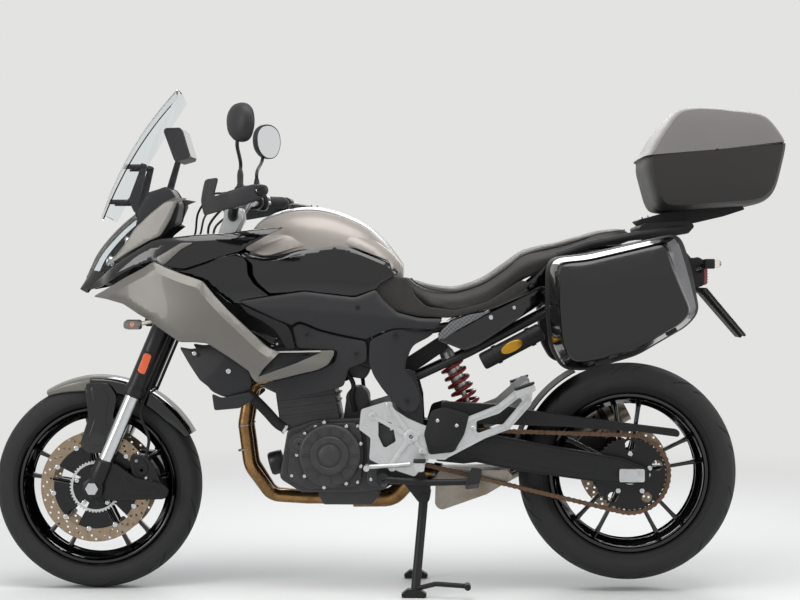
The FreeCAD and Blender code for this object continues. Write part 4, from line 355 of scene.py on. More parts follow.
def wheel(name, centre, half, hub_radius, hub_half, body):
    """The rim and hub turned round the axle, and spokes lofted from rounded squares between them."""
    rim = [(231, half + 5.5), (231.5, half + 2), (230, half), (222, half - 0.5), (BEAD_RADIUS, half - 3),
           (BEAD_RADIUS, half * 0.66), (214, half * 0.52), (204, half * 0.4), (203, 0)]
    outer = np.array(rim + [(radius, -side) for radius, side in rim[-2::-1]])
    inner = [(197, -half * 0.3), (199, -half * 0.5), (210, -half * 0.72), (213, -half * 0.95), (214, -half - 4)]
    inner = np.array(inner + [(radius, -side) for radius, side in inner[::-1]])
    parts = [turned(np.concatenate([outer, inner]), centre, 160)]
    barrel = [(hub_radius - 12, -hub_half), (hub_radius - 3, -hub_half), (hub_radius, -hub_half + 4),
              (hub_radius - 8, -hub_half + 16), (hub_radius - 6, 0), (hub_radius - 8, hub_half - 16),
              (hub_radius, hub_half - 4), (hub_radius - 3, hub_half), (hub_radius - 12, hub_half)]
    parts.append(turned(barrel, centre, 72))
    ring = pillow(16)
    share = np.linspace(0, 1, 14)
    reach = hub_radius - 9 + (203 - hub_radius + 8) * share
    flare = np.exp(-share / 0.1) + 0.9 * np.exp((share - 1) / 0.06)
    wide = 6.2 + 5 * flare
    deep = 16 - 5 * share + 6 * flare
    for pair in range(5):
        turn = math.radians(90 + 72 * pair)
        out = np.array([math.cos(turn), 0, math.sin(turn)])
        along = np.array([-math.sin(turn), 0, math.cos(turn)])
        for way in (-1, 1):
            middle = np.array(centre) + out * reach[:, None] + along * (way * (12 + 24 * share ** 0.9))[:, None]
            rings = (middle[:, None] + along * (ring[:, :1] * wide[:, None, None])
                     + np.array([0, 1, 0]) * (ring[:, 1:] * deep[:, None, None]))
            parts.append(lofted(rings))
    add_piece(f"{name}_dressed", parts, [gloss_black], body, [name], crease=40)


wheel("front_rim", FRONT, 46, 42, 67, "front_wheel")
wheel("rear_rim", REAR, 71, 52, 93, "rear_wheel")


# Brake discs and hubs
# Drilled steel rings, beige from heat, on carriers with bright buttons, and toothed sensor rings inside.

def disc_steel(name, centre, reach):
    """Steel beige from heat, with dark paint nearer to the axle than the reach, for a disc's carrier."""
    material = finish_of(name, "#9a8a76", 0.3, metal=0.9, uneven=0.1, patch=40, stain="#6b5238", stained=0.5)
    tree = material.node_tree
    shader = tree.nodes["Principled BSDF"]
    steel = shader.inputs["Base Color"].links[0].from_socket
    place = tree.nodes.new("ShaderNodeTexCoord").outputs["Object"]
    flat = node_of(tree, "ShaderNodeVectorMath", {0: place, 1: (1, 0, 1)}, "MULTIPLY").outputs["Vector"]
    apart = node_of(tree, "ShaderNodeVectorMath", {0: flat, 1: metres(centre).tolist()}, "DISTANCE").outputs["Value"]
    near = node_of(tree, "ShaderNodeMath", {0: apart, 1: reach / 1000}, "LESS_THAN").outputs["Value"]
    mix = node_of(tree, "ShaderNodeMix", {"Factor": near, "A": steel, "B": srgb("#121213")})
    metal = node_of(tree, "ShaderNodeMath", {0: 1.0, 1: near}, "SUBTRACT")
    feed(shader, {"Base Color": mix.outputs["Result"], "Metallic": metal.outputs["Value"]})
    return material


bright_steel = finish_of("bright_steel", "#c9cbcd", 0.18, metal=1.0, uneven=0.05)
satin_black = finish_of("satin_black", "#0e0e0f", 0.36, grain=0.05, uneven=0.06)
cast_silver = finish_of("cast_silver", "#c6c7c8", 0.36, metal=0.75, grain=0.08, uneven=0.08, patch=30, stain="#9b9a96")
paint(disc_steel("front_steel", FRONT, 122), "front_discs")
paint(disc_steel("rear_steel", REAR, 100), "rear_disc")


def button(centre, radius, height, hollow=0.45, turns=24):
    """A round head with a softened rim and a socket, standing out along the side axis from its centre."""
    way = 1 if height > 0 else -1
    tall = abs(height)
    soft = min(0.25 * radius, 0.5 * tall)
    profile = [(0.001, 0), (radius, 0), (radius, tall - soft), (radius - 0.3 * soft, tall - 0.3 * soft),
               (radius - soft, tall), (radius * hollow, tall), (radius * hollow * 0.9, tall * 0.4), (0.001, tall * 0.4)]
    return turned([(r, way * side) for r, side in profile], centre, turns, closed=False)


def ring_of(count, radius, centre, start=0.0):
    """Places evenly round a circle in a side view, with the first one at a start angle in degrees."""
    angle = np.radians(start + 360 / count * np.arange(count))
    return np.array(centre) + radius * np.stack([np.cos(angle), 0 * angle, np.sin(angle)], -1)


def notched(centre, inner, outer, teeth, low, high):
    """A flat toothed ring: its outer radius steps in and out with the turn."""
    steps = np.arange(teeth * 4)
    angle = 2 * np.pi * steps / len(steps)
    edge = np.where(steps % 4 < 2, outer, outer - 4)
    rows = []
    for radius, side in ((inner + 0 * edge, low), (edge, low), (edge, high), (inner + 0 * edge, high)):
        rows.append(np.stack([centre[0] + radius * np.cos(angle), centre[1] + side + 0 * angle,
                              centre[2] + radius * np.sin(angle)], -1))
    grid = np.stack(rows, 1)
    return grid.reshape(-1, 3), quads(len(steps), 4, True, True)


front_face, rear_face = (FRONT[0], -72.2, FRONT[2]), (REAR[0], 98.3, REAR[2])
buttons = [button(spot, 7.5, -3) for spot in ring_of(10, 124, front_face, 9)]
buttons += [button(spot, 6.5, -6) for spot in ring_of(5, 57, front_face, 18)]
add_piece("front_disc_buttons", mirrored(buttons), [bright_steel], "front_wheel")
toothed = [notched(FRONT, 66, 76, 48, -75.5, -73.2)]
add_piece("front_sensor_ring", mirrored(toothed), [cast_silver], "front_wheel", crease=20)
buttons = [button(spot, 5, 1.2) for spot in ring_of(10, 91, rear_face, 9)]
buttons += [button(spot, 6, 6) for spot in ring_of(5, 64, rear_face, 18)]
add_piece("rear_disc_buttons", buttons, [bright_steel], "rear_wheel")


# Chain and sprockets
# A roller chain of paired side plates, pins and rollers, on a black rear sprocket with bright nuts.

chain_steel = finish_of("chain_steel", "#6a5546", 0.42, metal=0.85, uneven=0.1, patch=120, stain="#3b2517",
                        stained=0.6)
PITCH, LINKS, CHAIN_SIDE = 15.875, 118, -106
front_circle = (850.0, 435.0, PITCH / (2 * math.sin(math.pi / 16)))
rear_circle = (REAR[0], REAR[2], PITCH / (2 * math.sin(math.pi / 44)))


def chain_line(count):
    """Evenly spaced points on the chain's loop: two straight runs that touch both pitch circles, and
    the arcs round the circles between them."""
    span = np.array(rear_circle[:2]) - np.array(front_circle[:2])
    slope = math.atan2(span[1], span[0])
    lean = math.asin((rear_circle[2] - front_circle[2]) / np.hypot(*span))
    upper, lower = slope + math.pi / 2 + lean, slope - math.pi / 2 - lean
    rear_turn = np.linspace(upper, lower, 300)[:, None]
    front_turn = np.linspace(lower, upper - 2 * math.pi, 300)[:, None]
    arcs = []
    for circle, turn in ((rear_circle, rear_turn), (front_circle, front_turn)):
        arcs.append(np.array(circle[:2]) + circle[2] * np.hstack([np.cos(turn), np.sin(turn)]))
    line = np.concatenate(arcs + [arcs[0][:1]])
    passed = np.concatenate([[0], np.cumsum(np.hypot(*np.diff(line, axis=0).T))])
    stops = np.linspace(0, passed[-1], count, endpoint=False)
    return np.stack([np.interp(stops, passed, line[:, axis]) for axis in (0, 1)], -1)


def repeated(points, faces, starts, along, up):
    """One small solid copied to many places: its points are (along, side, up) from each start."""
    place = starts[:, None] + along[:, None] * points[None, :, :1] + up[:, None] * points[None, :, 2:]
    copies = np.stack([place[..., 0], np.broadcast_to(points[:, 1], place.shape[:2]), place[..., 1]], -1)
    shifted = [[corner + step * len(points) for corner in face] for step in range(len(starts)) for face in faces]
    return copies.reshape(-1, 3), shifted


joints = chain_line(LINKS)
step = np.roll(joints, -1, 0) - joints
along = step / np.hypot(*step.T)[:, None]
up = np.stack([-along[:, 1], along[:, 0]], -1)
# A plate's outline is a half round about each of its two pins, drawn in between them.
ends = np.radians([-75, -38, 0, 38, 75])
plate = np.concatenate([
    np.stack([PITCH + 6.9 * np.cos(ends), 6.9 * np.sin(ends)], -1), [(PITCH / 2, 4.9)],
    np.stack([6.9 * np.cos(ends + np.pi), 6.9 * np.sin(ends + np.pi)], -1), [(PITCH / 2, -4.9)],
])
parts = []
# Inner plates on every other link and outer plates on the ones between, then rollers and pins at every joint.
for inner, outer, start in ((4.7, 6.6, 0), (6.8, 8.7, 1)):
    for way in (-1, 1):
        sides = sorted((CHAIN_SIDE + way * inner, CHAIN_SIDE + way * outer))
        solid = np.stack([np.stack([plate[:, 0], np.full(len(plate), side), plate[:, 1]], -1) for side in sides])
        points, faces = lofted(solid)
        parts.append(repeated(points, faces, joints[start::2], along[start::2], up[start::2]))
for radius, half, corners in ((5.1, 4.6, 10), (2.9, 9.4, 8)):
    turn = 2 * np.pi * np.arange(corners) / corners
    rings = [np.stack([radius * np.cos(turn), np.full(corners, side), radius * np.sin(turn)], -1)
             for side in (CHAIN_SIDE - half, CHAIN_SIDE + half)]
    points, faces = lofted(rings)
    parts.append(repeated(points, faces, joints, along, up))
add_piece("chain_dressed", parts, [chain_steel], "chassis", ["chain"], weld=0.000001)

paint(satin_black, "rear_sprocket")
sprocket_face = (REAR[0], -109.5, REAR[2])
nuts = [button(spot, 8, -8, 0.5, 6) for spot in ring_of(5, 58, sprocket_face, 18)]
nuts.append(turned([(24, 0), (30, 0), (31, -5), (29, -8), (24, -8)], sprocket_face, 48))
add_piece("rear_sprocket_nuts", nuts, [bright_steel], "rear_wheel")


# Fork
# An upside-down fork: black upper tubes, bright inner tubes and black cast feet that hold the axle.

RAKE = math.radians(23)
STEM_FOOT = 27.615, 288.278
LEG_AHEAD, LEG_SIDE = -30, -107


def fork_place(points):
    """Points given as (behind the stem, side, up along the legs), moved to the leaning fork."""
    back, side, along = np.moveaxis(np.asarray(points, float), -1, 0)
    return np.stack([STEM_FOOT[0] + back * math.cos(RAKE) + along * math.sin(RAKE), side,
                     STEM_FOOT[1] - back * math.sin(RAKE) + along * math.cos(RAKE)], -1)


def spun(start, end, profile, turns=32):
    """A profile of (radius, distance from the start) turned about the line from start to end."""
    start, end = np.asarray(start, float), np.asarray(end, float)
    axis = (end - start) / np.linalg.norm(end - start)
    first = np.cross(axis, (0.3, 0.2, 0.93) if abs(axis[2]) < 0.8 else (0.9, 0.4, 0.1))
    first /= np.linalg.norm(first)
    second = np.cross(axis, first)
    angle = 2 * np.pi * np.arange(turns)[:, None, None] / turns
    radius, reach = np.asarray(profile, float).T[:, None, :, None]
    grid = start + axis * reach + radius * (np.cos(angle) * first + np.sin(angle) * second)
    return grid.reshape(-1, 3), quads(turns, len(profile), True, False)


def on_leg(low, high, profile, turns=48):
    """A profile turned about the left leg between two heights along it."""
    return spun(fork_place((LEG_AHEAD, LEG_SIDE, low)), fork_place((LEG_AHEAD, LEG_SIDE, high)), profile, turns)


def bolt(spot, way, radius=5.0, height=4.0):
    """A socket-headed screw standing on a spot, along a direction."""
    spot, way = np.asarray(spot, float), np.asarray(way, float) / np.linalg.norm(way)
    profile = [(0.001, -1), (radius, -1), (radius, height * 0.8), (radius * 0.85, height), (radius * 0.5, height),
               (radius * 0.45, height * 0.45), (0.001, height * 0.45)]
    return spun(spot, spot + way, profile, 16)


def bolts(side, places, way, radius, height):
    """Screws of one size at side-view places, all at the same distance from the middle."""
    return [bolt((place[0], side, place[1]), way, radius, height) for place in places]


def rounded(outline, bend=8.0, steps=5):
    """A closed outline with each corner swapped for a curve that starts and ends one bend away from it."""
    corner = np.asarray(outline, float)
    before, after = np.roll(corner, 1, 0) - corner, np.roll(corner, -1, 0) - corner
    far_before, far_after = np.hypot(*before.T)[:, None], np.hypot(*after.T)[:, None]
    start = (corner + before * np.minimum(bend / far_before, 0.46))[:, None]
    end = (corner + after * np.minimum(bend / far_after, 0.46))[:, None]
    share = np.linspace(0, 1, steps)[None, :, None]
    curve = (1 - share) ** 2 * start + 2 * share * (1 - share) * corner[:, None] + share ** 2 * end
    return curve.reshape(-1, 2)


def shrunk(outline, distance):
    """A closed outline moved inwards, each point along the mean of its two edges' normals."""
    ahead = np.roll(outline, -1, 0) - outline
    ahead /= np.maximum(np.hypot(*ahead.T), 1e-9)[:, None]
    mean = ahead + np.roll(ahead, 1, 0)
    mean /= np.maximum(np.hypot(*mean.T), 1e-9)[:, None]
    turn = np.sign(np.sum(outline[:, 0] * np.roll(outline[:, 1], -1) - outline[:, 1] * np.roll(outline[:, 0], -1)))
    return outline + turn * distance * np.stack([-mean[:, 1], mean[:, 0]], -1)


def casting(outline, low, high, bend=8.0, soft=2.0):
    """A plate with a side-view outline between two distances from the middle, its rims rounded over."""
    edge = rounded(outline, bend)
    rings = []
    for side, inward in ((low, soft), (low + 0.3 * soft, 0.3 * soft), (low + soft, 0), (high - soft, 0),
                         (high - 0.3 * soft, 0.3 * soft), (high, soft)):
        ring = shrunk(edge, inward) if inward else edge
        rings.append(np.stack([ring[:, 0], np.full(len(ring), side), ring[:, 1]], -1))
    return lofted(rings)


orange_lens = new_material("orange_lens", {"Base Color": srgb("#e2560c"), "Roughness": 0.15, "Coat Weight": 1.0})[0]
eye = (FRONT[0], LEG_SIDE, FRONT[2])
lug = [(26, 270), (60, 262), (130, 266), (206, 268), (216, 284), (216, 300), (196, 314), (120, 330), (60, 372),
       (28, 372)]
feet = [turned([(12, -22), (26, -22), (29, -20), (30, -16), (30, 16), (29, 20), (26, 22), (12, 22)], eye, 64),
        on_leg(-6, 90, [(0.01, 0), (24, 0), (26.5, 4), (26.5, 84), (25, 90), (21, 94), (21, 96)]),
        casting(lug, -115, -99, 12, 3),
        casting([(96, 278), (190, 280), (190, 296), (120, 312), (84, 336)], -117, -97, 8, 2)]
feet += bolts(-120, [(-8, 266), (14, 262)], (0.2, -0.1, -1), 5, 6)
tubes = [on_leg(88, 440, [(21.4, 0), (21.5, 4), (21.5, 352)]),
         turned([(0.01, -24), (11, -24), (16, -23), (18, -21), (18, -15), (0.01, -15)], eye, 6)]
add_piece("fork_feet", mirrored(feet), [satin_black], "steering", ["fork_stanchions"])
add_piece("fork_inner_tubes", mirrored(tubes), [bright_steel], "steering", ["fork_stanchions"])

seals = [on_leg(low, high, [(21.6, 0), (reach - 1, 0), (reach, 1), (reach, high - low - 1), (reach - 1, high - low)])
         for low, high, reach in ((286, 292, 24), (292, 312, 31), (312, 316, 29))]
caps = [on_leg(772, 780, [(20, 0), (20, 5), (19, 6.5), (9, 6.5), (8, 5), (0.01, 5)], 6)]
add_piece("fork_seals", mirrored(seals), [satin_black], "steering")
add_piece("fork_top_screws", mirrored(caps), [cast_silver], "steering")
marker = casting([(-41, 360), (-18, 360), (-20, 420), (-43, 420)], -139, -133, 8, 1.5)
backing = casting([(-44, 356), (-15, 356), (-17, 424), (-46, 424)], -135, -128, 8, 1)
reflectors = [(fork_place(points), faces, kind) for (points, faces), kind in ((marker, 0), (backing, 1))]
add_piece("fork_reflectors", mirrored(reflectors), [orange_lens, satin_black], "steering")
forward = fork_place((-1, 0, 0)) - fork_place((0, 0, 0))
pinch = [bolt(fork_place((-62, -88, along)), forward, 5, 5) for along in (541, 554, 748, 762)]
add_piece("yoke_screws", mirrored(pinch), [bright_steel], "steering")
paint(bright_steel, "front_axle rear_axle")
paint(satin_black, "fork_tubes front_calipers rear_caliper")
paint(cast_silver, "fork_clamps")


# Front brakes
# Four-piston radial calipers in satin black, with piston caps, pad pins and a rubber hose to each.

matt_black = finish_of("matt_black", "#0f0f10", 0.6, grain=0.15, uneven=0.05)
matt_grey = finish_of("matt_grey", "#232325", 0.52, grain=0.15, uneven=0.05)
rubber = finish_of("rubber", "#151516", 0.66, grain=0.08, uneven=0.05)
CALIPER_FACE = -98.7
cap_profile = [(17, 0), (17, -2.2), (15.5, -3.4), (11, -3.4), (10, -2), (0.01, -2)]
caps = [turned(cap_profile, (behind, CALIPER_FACE, height), 40) for behind, height in ((137, 350), (160, 306))]
caps.append(casting([(118, 384), (146, 380), (160, 352), (140, 366), (112, 372)], -102, -97, 6, 1.2))
pins = bolts(CALIPER_FACE, [(122, 377), (150, 328), (176, 286)], (0, -1, 0), 4.4, 4)
pins.append(bolt((126, -84, 394), (-0.2, 0, 1), 5, 8))
add_piece("caliper_caps", mirrored(caps), [satin_black], "steering")
add_piece("caliper_pins", mirrored(pins), [bright_steel], "steering")
paint(rubber, "brake_hoses")


# Front mudguard
# A thin moulded shell over the tyre, gloss black with a grey nose, on screwed legs down to the fork feet.

grey_paint = finish_of("grey_paint", "#6c6964", 0.4, metal=0.45, coat=0.3, uneven=0.03)
silver_paint = finish_of("silver_paint", "#948d87", 0.42, metal=0.35, coat=0.25, uneven=0.03)


def shell(outer, inner):
    """A closed shell between an outer and an inner sheet, both grids of the same size."""
    rows, columns = outer.shape[:2]
    loop = np.concatenate([outer, inner[:, ::-1]], 1)
    points, faces = loop.reshape(-1, 3), quads(rows, 2 * columns, False, True)
    faces += [list(range(2 * columns)), list(range((rows - 1) * 2 * columns, rows * 2 * columns))]
    return points, faces


# A cross section carried round the axle. Its skirts shorten and draw in towards both ends, and a low
# ridge, shaped like a bell curve, runs along the middle.
turn = np.radians(np.linspace(29, 119, 64))[:, None]
tip = np.clip((np.degrees(turn) - 92) / 27, 0, 1)
tail = np.clip((44 - np.degrees(turn)) / 15, 0, 1)
section = smooth_line([(-34, -70.5), (-18, -71.5), (-4, -70), (3, -60), (7, -40), (8.5, -20), (9, 0)], 22)
section = np.concatenate([section, section[-2::-1] * (1, -1)])
skirt = 1 - 0.72 * tip ** 1.2 - 0.5 * tail
narrow = 1 - 0.42 * tip ** 1.8 - 0.06 * tail
deep = np.where(section[:, 0] < 3, 3 + (section[:, 0] - 3) * skirt, section[:, 0])
radius = 312 + deep - 6 * tip + 1.5 * np.exp(-(section[:, 1] / 9) ** 2)
side = section[:, 1] * narrow
outer = np.stack([radius * np.cos(turn), side, FRONT[2] + radius * np.sin(turn)], -1)
inner_side = side * (1 - 3.2 / np.maximum(np.abs(side), 20))
inner = np.stack([(radius - 3) * np.cos(turn), inner_side, FRONT[2] + (radius - 3) * np.sin(turn)], -1)
dark, pale = shell(outer[:46], inner[:46]), shell(outer[45:], inner[45:])
stay = casting([(-32, 600), (40, 600), (64, 560), (50, 500), (68, 446), (56, 400), (-22, 396), (-46, 420), (-20, 500)],
               -83.8, -78, 16, 2)
rib = casting([(-14, 590), (22, 590), (42, 556), (30, 500), (44, 440), (30, 420), (-12, 420), (-22, 436), (0, 500)],
              -86, -83, 14, 1.5)
foot = turned([(0.01, -3), (9, -3), (9, 3), (0.01, 3)], (50, -84, 406), 20)
add_piece("front_mudguard_dressed", [(*dark, 0), (*pale, 1)] + mirrored([(*stay, 0), (*rib, 0), (*foot, 2)]),
          [gloss_black, grey_paint, satin_black], "steering", ["front_mudguard"])


# Side wings
# Large moulded wings in warm grey, with a bevelled upper edge, a dark hollow and a raised blade behind it.

def evenly(outline, spacing, closed=True):
    """A line cut again into steps of about one spacing."""
    line = np.concatenate([outline, outline[:1]]) if closed else np.asarray(outline, float)
    passed = np.concatenate([[0], np.cumsum(np.hypot(*np.diff(line, axis=0).T))])
    stops = np.linspace(0, passed[-1], max(int(passed[-1] / spacing), 3) + 1)
    stops = stops[:-1] if closed else stops
    return np.stack([np.interp(stops, passed, line[:, axis]) for axis in (0, 1)], -1)


def gap_to(line, spots, closed=True):
    """How far each spot lies from a line's nearest run."""
    start = np.asarray(line, float)
    end = np.roll(start, -1, 0)
    if not closed:
        start, end = start[:-1], end[:-1]
    run = end - start
    share = np.sum((spots[:, None] - start) * run, -1) / np.maximum(np.sum(run * run, -1), 1e-9)
    nearest = start + np.clip(share, 0, 1)[..., None] * run
    return np.sqrt(np.min(np.sum((spots[:, None] - nearest) ** 2, -1), 1))


def beside(line, behind, height):
    """How far side-view places lie from an open line."""
    return gap_to(line, np.stack([behind, height], -1), False)


def inside(outline, spots):
    """Whether each spot lies within a closed outline: it does where a level ray crosses it an odd number of times."""
    start, end = np.asarray(outline, float), np.roll(outline, -1, 0)
    level = spots[:, 1][:, None]
    spans = (start[:, 1] > level) != (end[:, 1] > level)
    rise = np.where(np.abs(end[:, 1] - start[:, 1]) < 1e-9, 1e-9, end[:, 1] - start[:, 1])
    cross = start[:, 0] + (level - start[:, 1]) * (end[:, 0] - start[:, 0]) / rise
    return np.sum(spans & (spots[:, 0][:, None] < cross), 1) % 2 == 1


def cover(outline, depth, bend=10.0, wall=4.5, roll=3.0, spacing=11.0, lines=(), kind=0):
    """A closed moulded cover. Its side-view outline is filled with triangles, its outer face lies at
    depth(behind, height) and turns in like a quarter circle at the edge, and its back is a wall behind.
    Creases can run along the lines, and kind is the finish, or gives each triangle's."""
    edge = evenly(rounded(outline, bend), 0.55 * spacing)
    low, high = edge.min(0), edge.max(0)
    across, up = np.meshgrid(np.arange(low[0], high[0], spacing), np.arange(low[1], high[1], 0.866 * spacing))
    across[1::2] += spacing / 2
    seeds = np.stack([across, up], -1).reshape(-1, 2)
    seeds = seeds[inside(edge, seeds) & (gap_to(edge, seeds) > roll + 0.4 * spacing)]
    for share in (0.3, 1.0):
        ring = shrunk(edge, share * roll)
        ring = ring[inside(edge, ring) & (gap_to(edge, ring) > 0.8 * share * roll)]
        seeds = np.concatenate([ring, seeds])
    runs = []
    for line in lines:
        row = evenly(np.asarray(line, float), 0.5 * spacing, closed=False)
        row = row[inside(edge, row) & (gap_to(edge, row) > 0.6)]
        seeds = seeds[gap_to(row, seeds, False) > 0.35 * spacing]
        runs.append(row)
    spots = np.concatenate([edge, seeds] + runs)
    first = len(edge) + len(seeds)
    bound = []
    for row in runs:
        bound += [(first + step, first + step + 1) for step in range(len(row) - 1)]
        first += len(row)
    filled = delaunay_2d_cdt([Vector(spot) for spot in spots.tolist()], bound, [list(range(len(edge)))], 1, 0.0001)
    flat, faces = np.array([tuple(spot) for spot in filled[0]]), filled[2]
    ways = np.concatenate([np.array(faces)[:, pair] for pair in ([0, 1], [1, 2], [2, 0])])
    key = np.sort(ways, 1)
    first_use, uses = np.unique(key[:, 0] * len(flat) + key[:, 1], return_index=True, return_counts=True)[1:]
    rim = ways[first_use[uses == 1]]
    near = np.minimum(gap_to(edge, flat), roll)
    face = depth(flat[:, 0], flat[:, 1])
    turn_in = roll - np.sqrt(np.maximum(roll ** 2 - (roll - near) ** 2, 0))
    outer = np.stack([flat[:, 0], face + turn_in, flat[:, 1]], -1)
    inner = np.stack([flat[:, 0], face + wall, flat[:, 1]], -1)
    count = len(flat)
    middle = flat[np.array(faces)].mean(1)
    sort = kind(middle[:, 0], middle[:, 1]) if callable(kind) else np.full(len(faces), kind)
    solid = [list(face) for face in faces] + [[corner + count for corner in face[::-1]] for face in faces]
    solid += [[a, b, b + count, a + count] for a, b in rim.tolist()]
    kinds = np.concatenate([sort, sort, np.full(len(rim), sort[0] if not callable(kind) else 0)])
    return np.concatenate([outer, inner]), solid, kinds.astype(int)


def ruled(low, high, crown=0.0, middle=0.0, reach=100.0):
    """A depth that runs along two curves of (behind, side), each a polynomial through its points, and
    changes evenly between their heights, plus a crown that falls away as the square of the height from a middle."""
    (low_level, low_points), (high_level, high_points) = low, high
    fits = [np.polynomial.Polynomial.fit(*np.array(points, float).T, len(points) - 1)
            for points in (low_points, high_points)]
    first, last = low_points[0][0], low_points[-1][0]

    def depth(behind, height):
        behind = np.clip(behind, first, last)
        share = (height - low_level) / (high_level - low_level)
        return fits[0](behind) * (1 - share) + fits[1](behind) * share + crown * ((height - middle) / reach) ** 2

    return depth


def eased(value, low, high):
    """Nought below low, one above high, and a smooth S between."""
    share = np.clip((value - low) / (high - low), 0, 1)
    return share * share * (3 - 2 * share)


wing_base = ruled((600, [(-40, -60), (60, -150), (200, -212), (400, -240), (560, -226), (720, -200)]),
                  (960, [(-40, -58), (60, -146), (200, -206), (400, -232), (560, -216), (720, -190)]))
wing = [(-8, 850), (38, 872), (94, 903), (151, 931), (185, 951), (221, 934), (264, 917), (298, 906), (329, 895),
        (362, 855), (405, 810), (461, 757), (503, 717), (523, 703), (540, 698), (700, 700), (697, 684), (680, 658),
        (652, 644), (601, 633), (545, 619), (483, 608), (466, 625), (461, 641), (404, 681), (342, 720), (306, 723),
        (263, 723), (207, 760), (179, 782), (145, 799), (94, 830), (38, 844)]
wing_top = np.array(wing[:14], float)
wing_foot = np.array(wing[22:] + wing[:1], float)
hollow = np.array([(545, 694), (664, 695), (592, 664), (486, 626), (500, 648)], float)


def wing_depth(behind, height):
    """The wing's face: bellied, leaning in along its upper and lower edges, sunk in the hollow, with a blade."""
    spots = np.stack([behind, height], -1)
    top, foot = gap_to(wing_top, spots, False), gap_to(wing_foot, spots, False)
    lean = 0.62 * np.maximum(24 - top, 0) + 0.30 * np.maximum(20 - foot, 0)
    belly = -7 * np.exp(-((behind - 330) / 150) ** 2 - ((height - 800) / 75) ** 2)
    sunk = 9 * inside(hollow, spots) * eased(gap_to(hollow, spots), 0, 3)
    blade = -7 * eased(behind, 480, 560) * np.exp(-((height - 655) / 22) ** 2)
    return wing_base(behind, height) + lean + belly + sunk + blade * (sunk < 0.1)


def parallel(line, distance):
    """An open line moved to one side by a distance."""
    ahead = np.gradient(np.asarray(line, float), axis=0)
    ahead /= np.hypot(*ahead.T)[:, None]
    return np.asarray(line, float) + distance * np.stack([-ahead[:, 1], ahead[:, 0]], -1)


closed_hollow = np.concatenate([hollow, hollow[:1]])
sunk_edge = shrunk(hollow, 3)
wing_part = cover(wing, wing_depth, 7, roll=3.5,
                  lines=[parallel(wing_top, -24), parallel(wing_foot, -20), closed_hollow,
                         np.concatenate([sunk_edge, sunk_edge[:1]])],
                  kind=lambda u, z: inside(hollow, np.stack([u, z], -1)).astype(int))
add_piece("wings_dressed", mirrored([wing_part]), [grey_paint, matt_black], "chassis", ["wing_fairings"],
          crease=24)


# Upper fairing
# Moulded gloss black flanks between the nose and the tank, with a set-back panel under them, and warm
# grey cheeks beside the screen.

flank_base = ruled((880, [(20, -112), (120, -162), (280, -197), (440, -203), (600, -197)]),
                   (1070, [(20, -96), (120, -138), (280, -172), (440, -184), (600, -176)]), 5, 960, 60)
cowl = [(-26, 869), (8, 903), (59, 937), (116, 974), (173, 1008), (202, 1016), (301, 1027), (401, 1032), (457, 1041),
        (557, 1049), (508, 1025), (457, 996), (432, 979), (386, 968), (329, 948), (273, 930), (230, 932), (179, 954),
        (131, 937), (74, 909), (17, 878)]
cowl_top = np.array(cowl[1:10], float)


def cowl_depth(behind, height):
    """The flank's face: it leans in along its upper edge and narrows to the beak."""
    beak = 62 * (1 - eased(behind, -30, 60))
    return flank_base(behind, height) + 0.5 * np.maximum(16 - beside(cowl_top, behind, height), 0) + beak


under = [(205, 938), (231, 928), (274, 926), (331, 945), (387, 965), (424, 974), (450, 951), (452, 914), (470, 886),
         (515, 852), (458, 840), (418, 824), (390, 841), (359, 868), (325, 893), (288, 908), (240, 925)]
parts = [cover(cowl, cowl_depth, 8, lines=[parallel(cowl_top, -16)]),
         cover(under, lambda u, z: flank_base(u, z) + 9, 9)]
cheek_base = ruled((930, [(20, -98), (120, -130), (240, -158)]), (1130, [(20, -62), (120, -90), (240, -126)]),
                   -6, 1030, 80)
cheek = [(30, 942), (64, 969), (99, 1015), (116, 1044), (165, 1089), (208, 1121), (229, 1126), (246, 1121), (223, 1066),
         (197, 1024), (165, 1011), (102, 977), (60, 950)]
parts.append(cover(cheek, cheek_base, 8, kind=1))
parts.append(cover([(190, 962), (216, 976), (262, 1004), (300, 1004), (262, 984), (236, 960), (214, 940), (196, 948)],
                   lambda u, z: flank_base(u, z) - 4.5, 6, wall=6, roll=2, kind=1))
add_piece("upper_fairing_dressed", mirrored(parts), [gloss_black, grey_paint], "chassis",
          ["upper_fairing"], crease=24)


# Nose
# A moulded grey spine runs down to a black beak. At each side a clear lens closes a dark bowl with two
# round lamps in bright rings.

clear_lens = new_material("clear_lens", {"Base Color": (0.9, 0.93, 0.95, 1), "Roughness": 0.03,
                                         "Transmission Weight": 1.0, "IOR": 1.2})[0]
# The nose's profile in the side view, and its half width along it.
nose_line = smooth_line([(-57, 871), (-36, 905), (-22, 935), (-4, 972), (26, 1012), (66, 1054), (112, 1092),
                         (160, 1126), (206, 1146)], 65)
nose_stops = np.linspace(0, 1, len(nose_line))
nose_half = np.interp(nose_stops, [0, 0.12, 0.3, 0.5, 0.75, 1], [10, 52, 74, 88, 102, 112])


def nose_sheet(low, high, left, right, sunk=0.0, rows=24, columns=15):
    """Part of the nose: along its profile from low to high, across from left to right of its half width,
    swept back as the square of the way out, and sunk by a depth."""
    along = np.linspace(low, high, rows)
    line = np.stack([np.interp(along, nose_stops, nose_line[:, axis]) for axis in (0, 1)], -1)
    half = np.interp(along, nose_stops, nose_half)[:, None]
    share = np.linspace(0, 1, columns)[None, :]
    share = np.asarray(left)[..., None] * (1 - share) + np.asarray(right)[..., None] * share
    share = np.broadcast_to(share, (rows, columns))
    back = 78 * share ** 2 * np.clip(half / 90, 0.25, 1)
    return np.stack([line[:, :1] + back + 0.8 * sunk, half * share, line[:, 1:] - 10 * share ** 2 - 0.5 * sunk], -1)


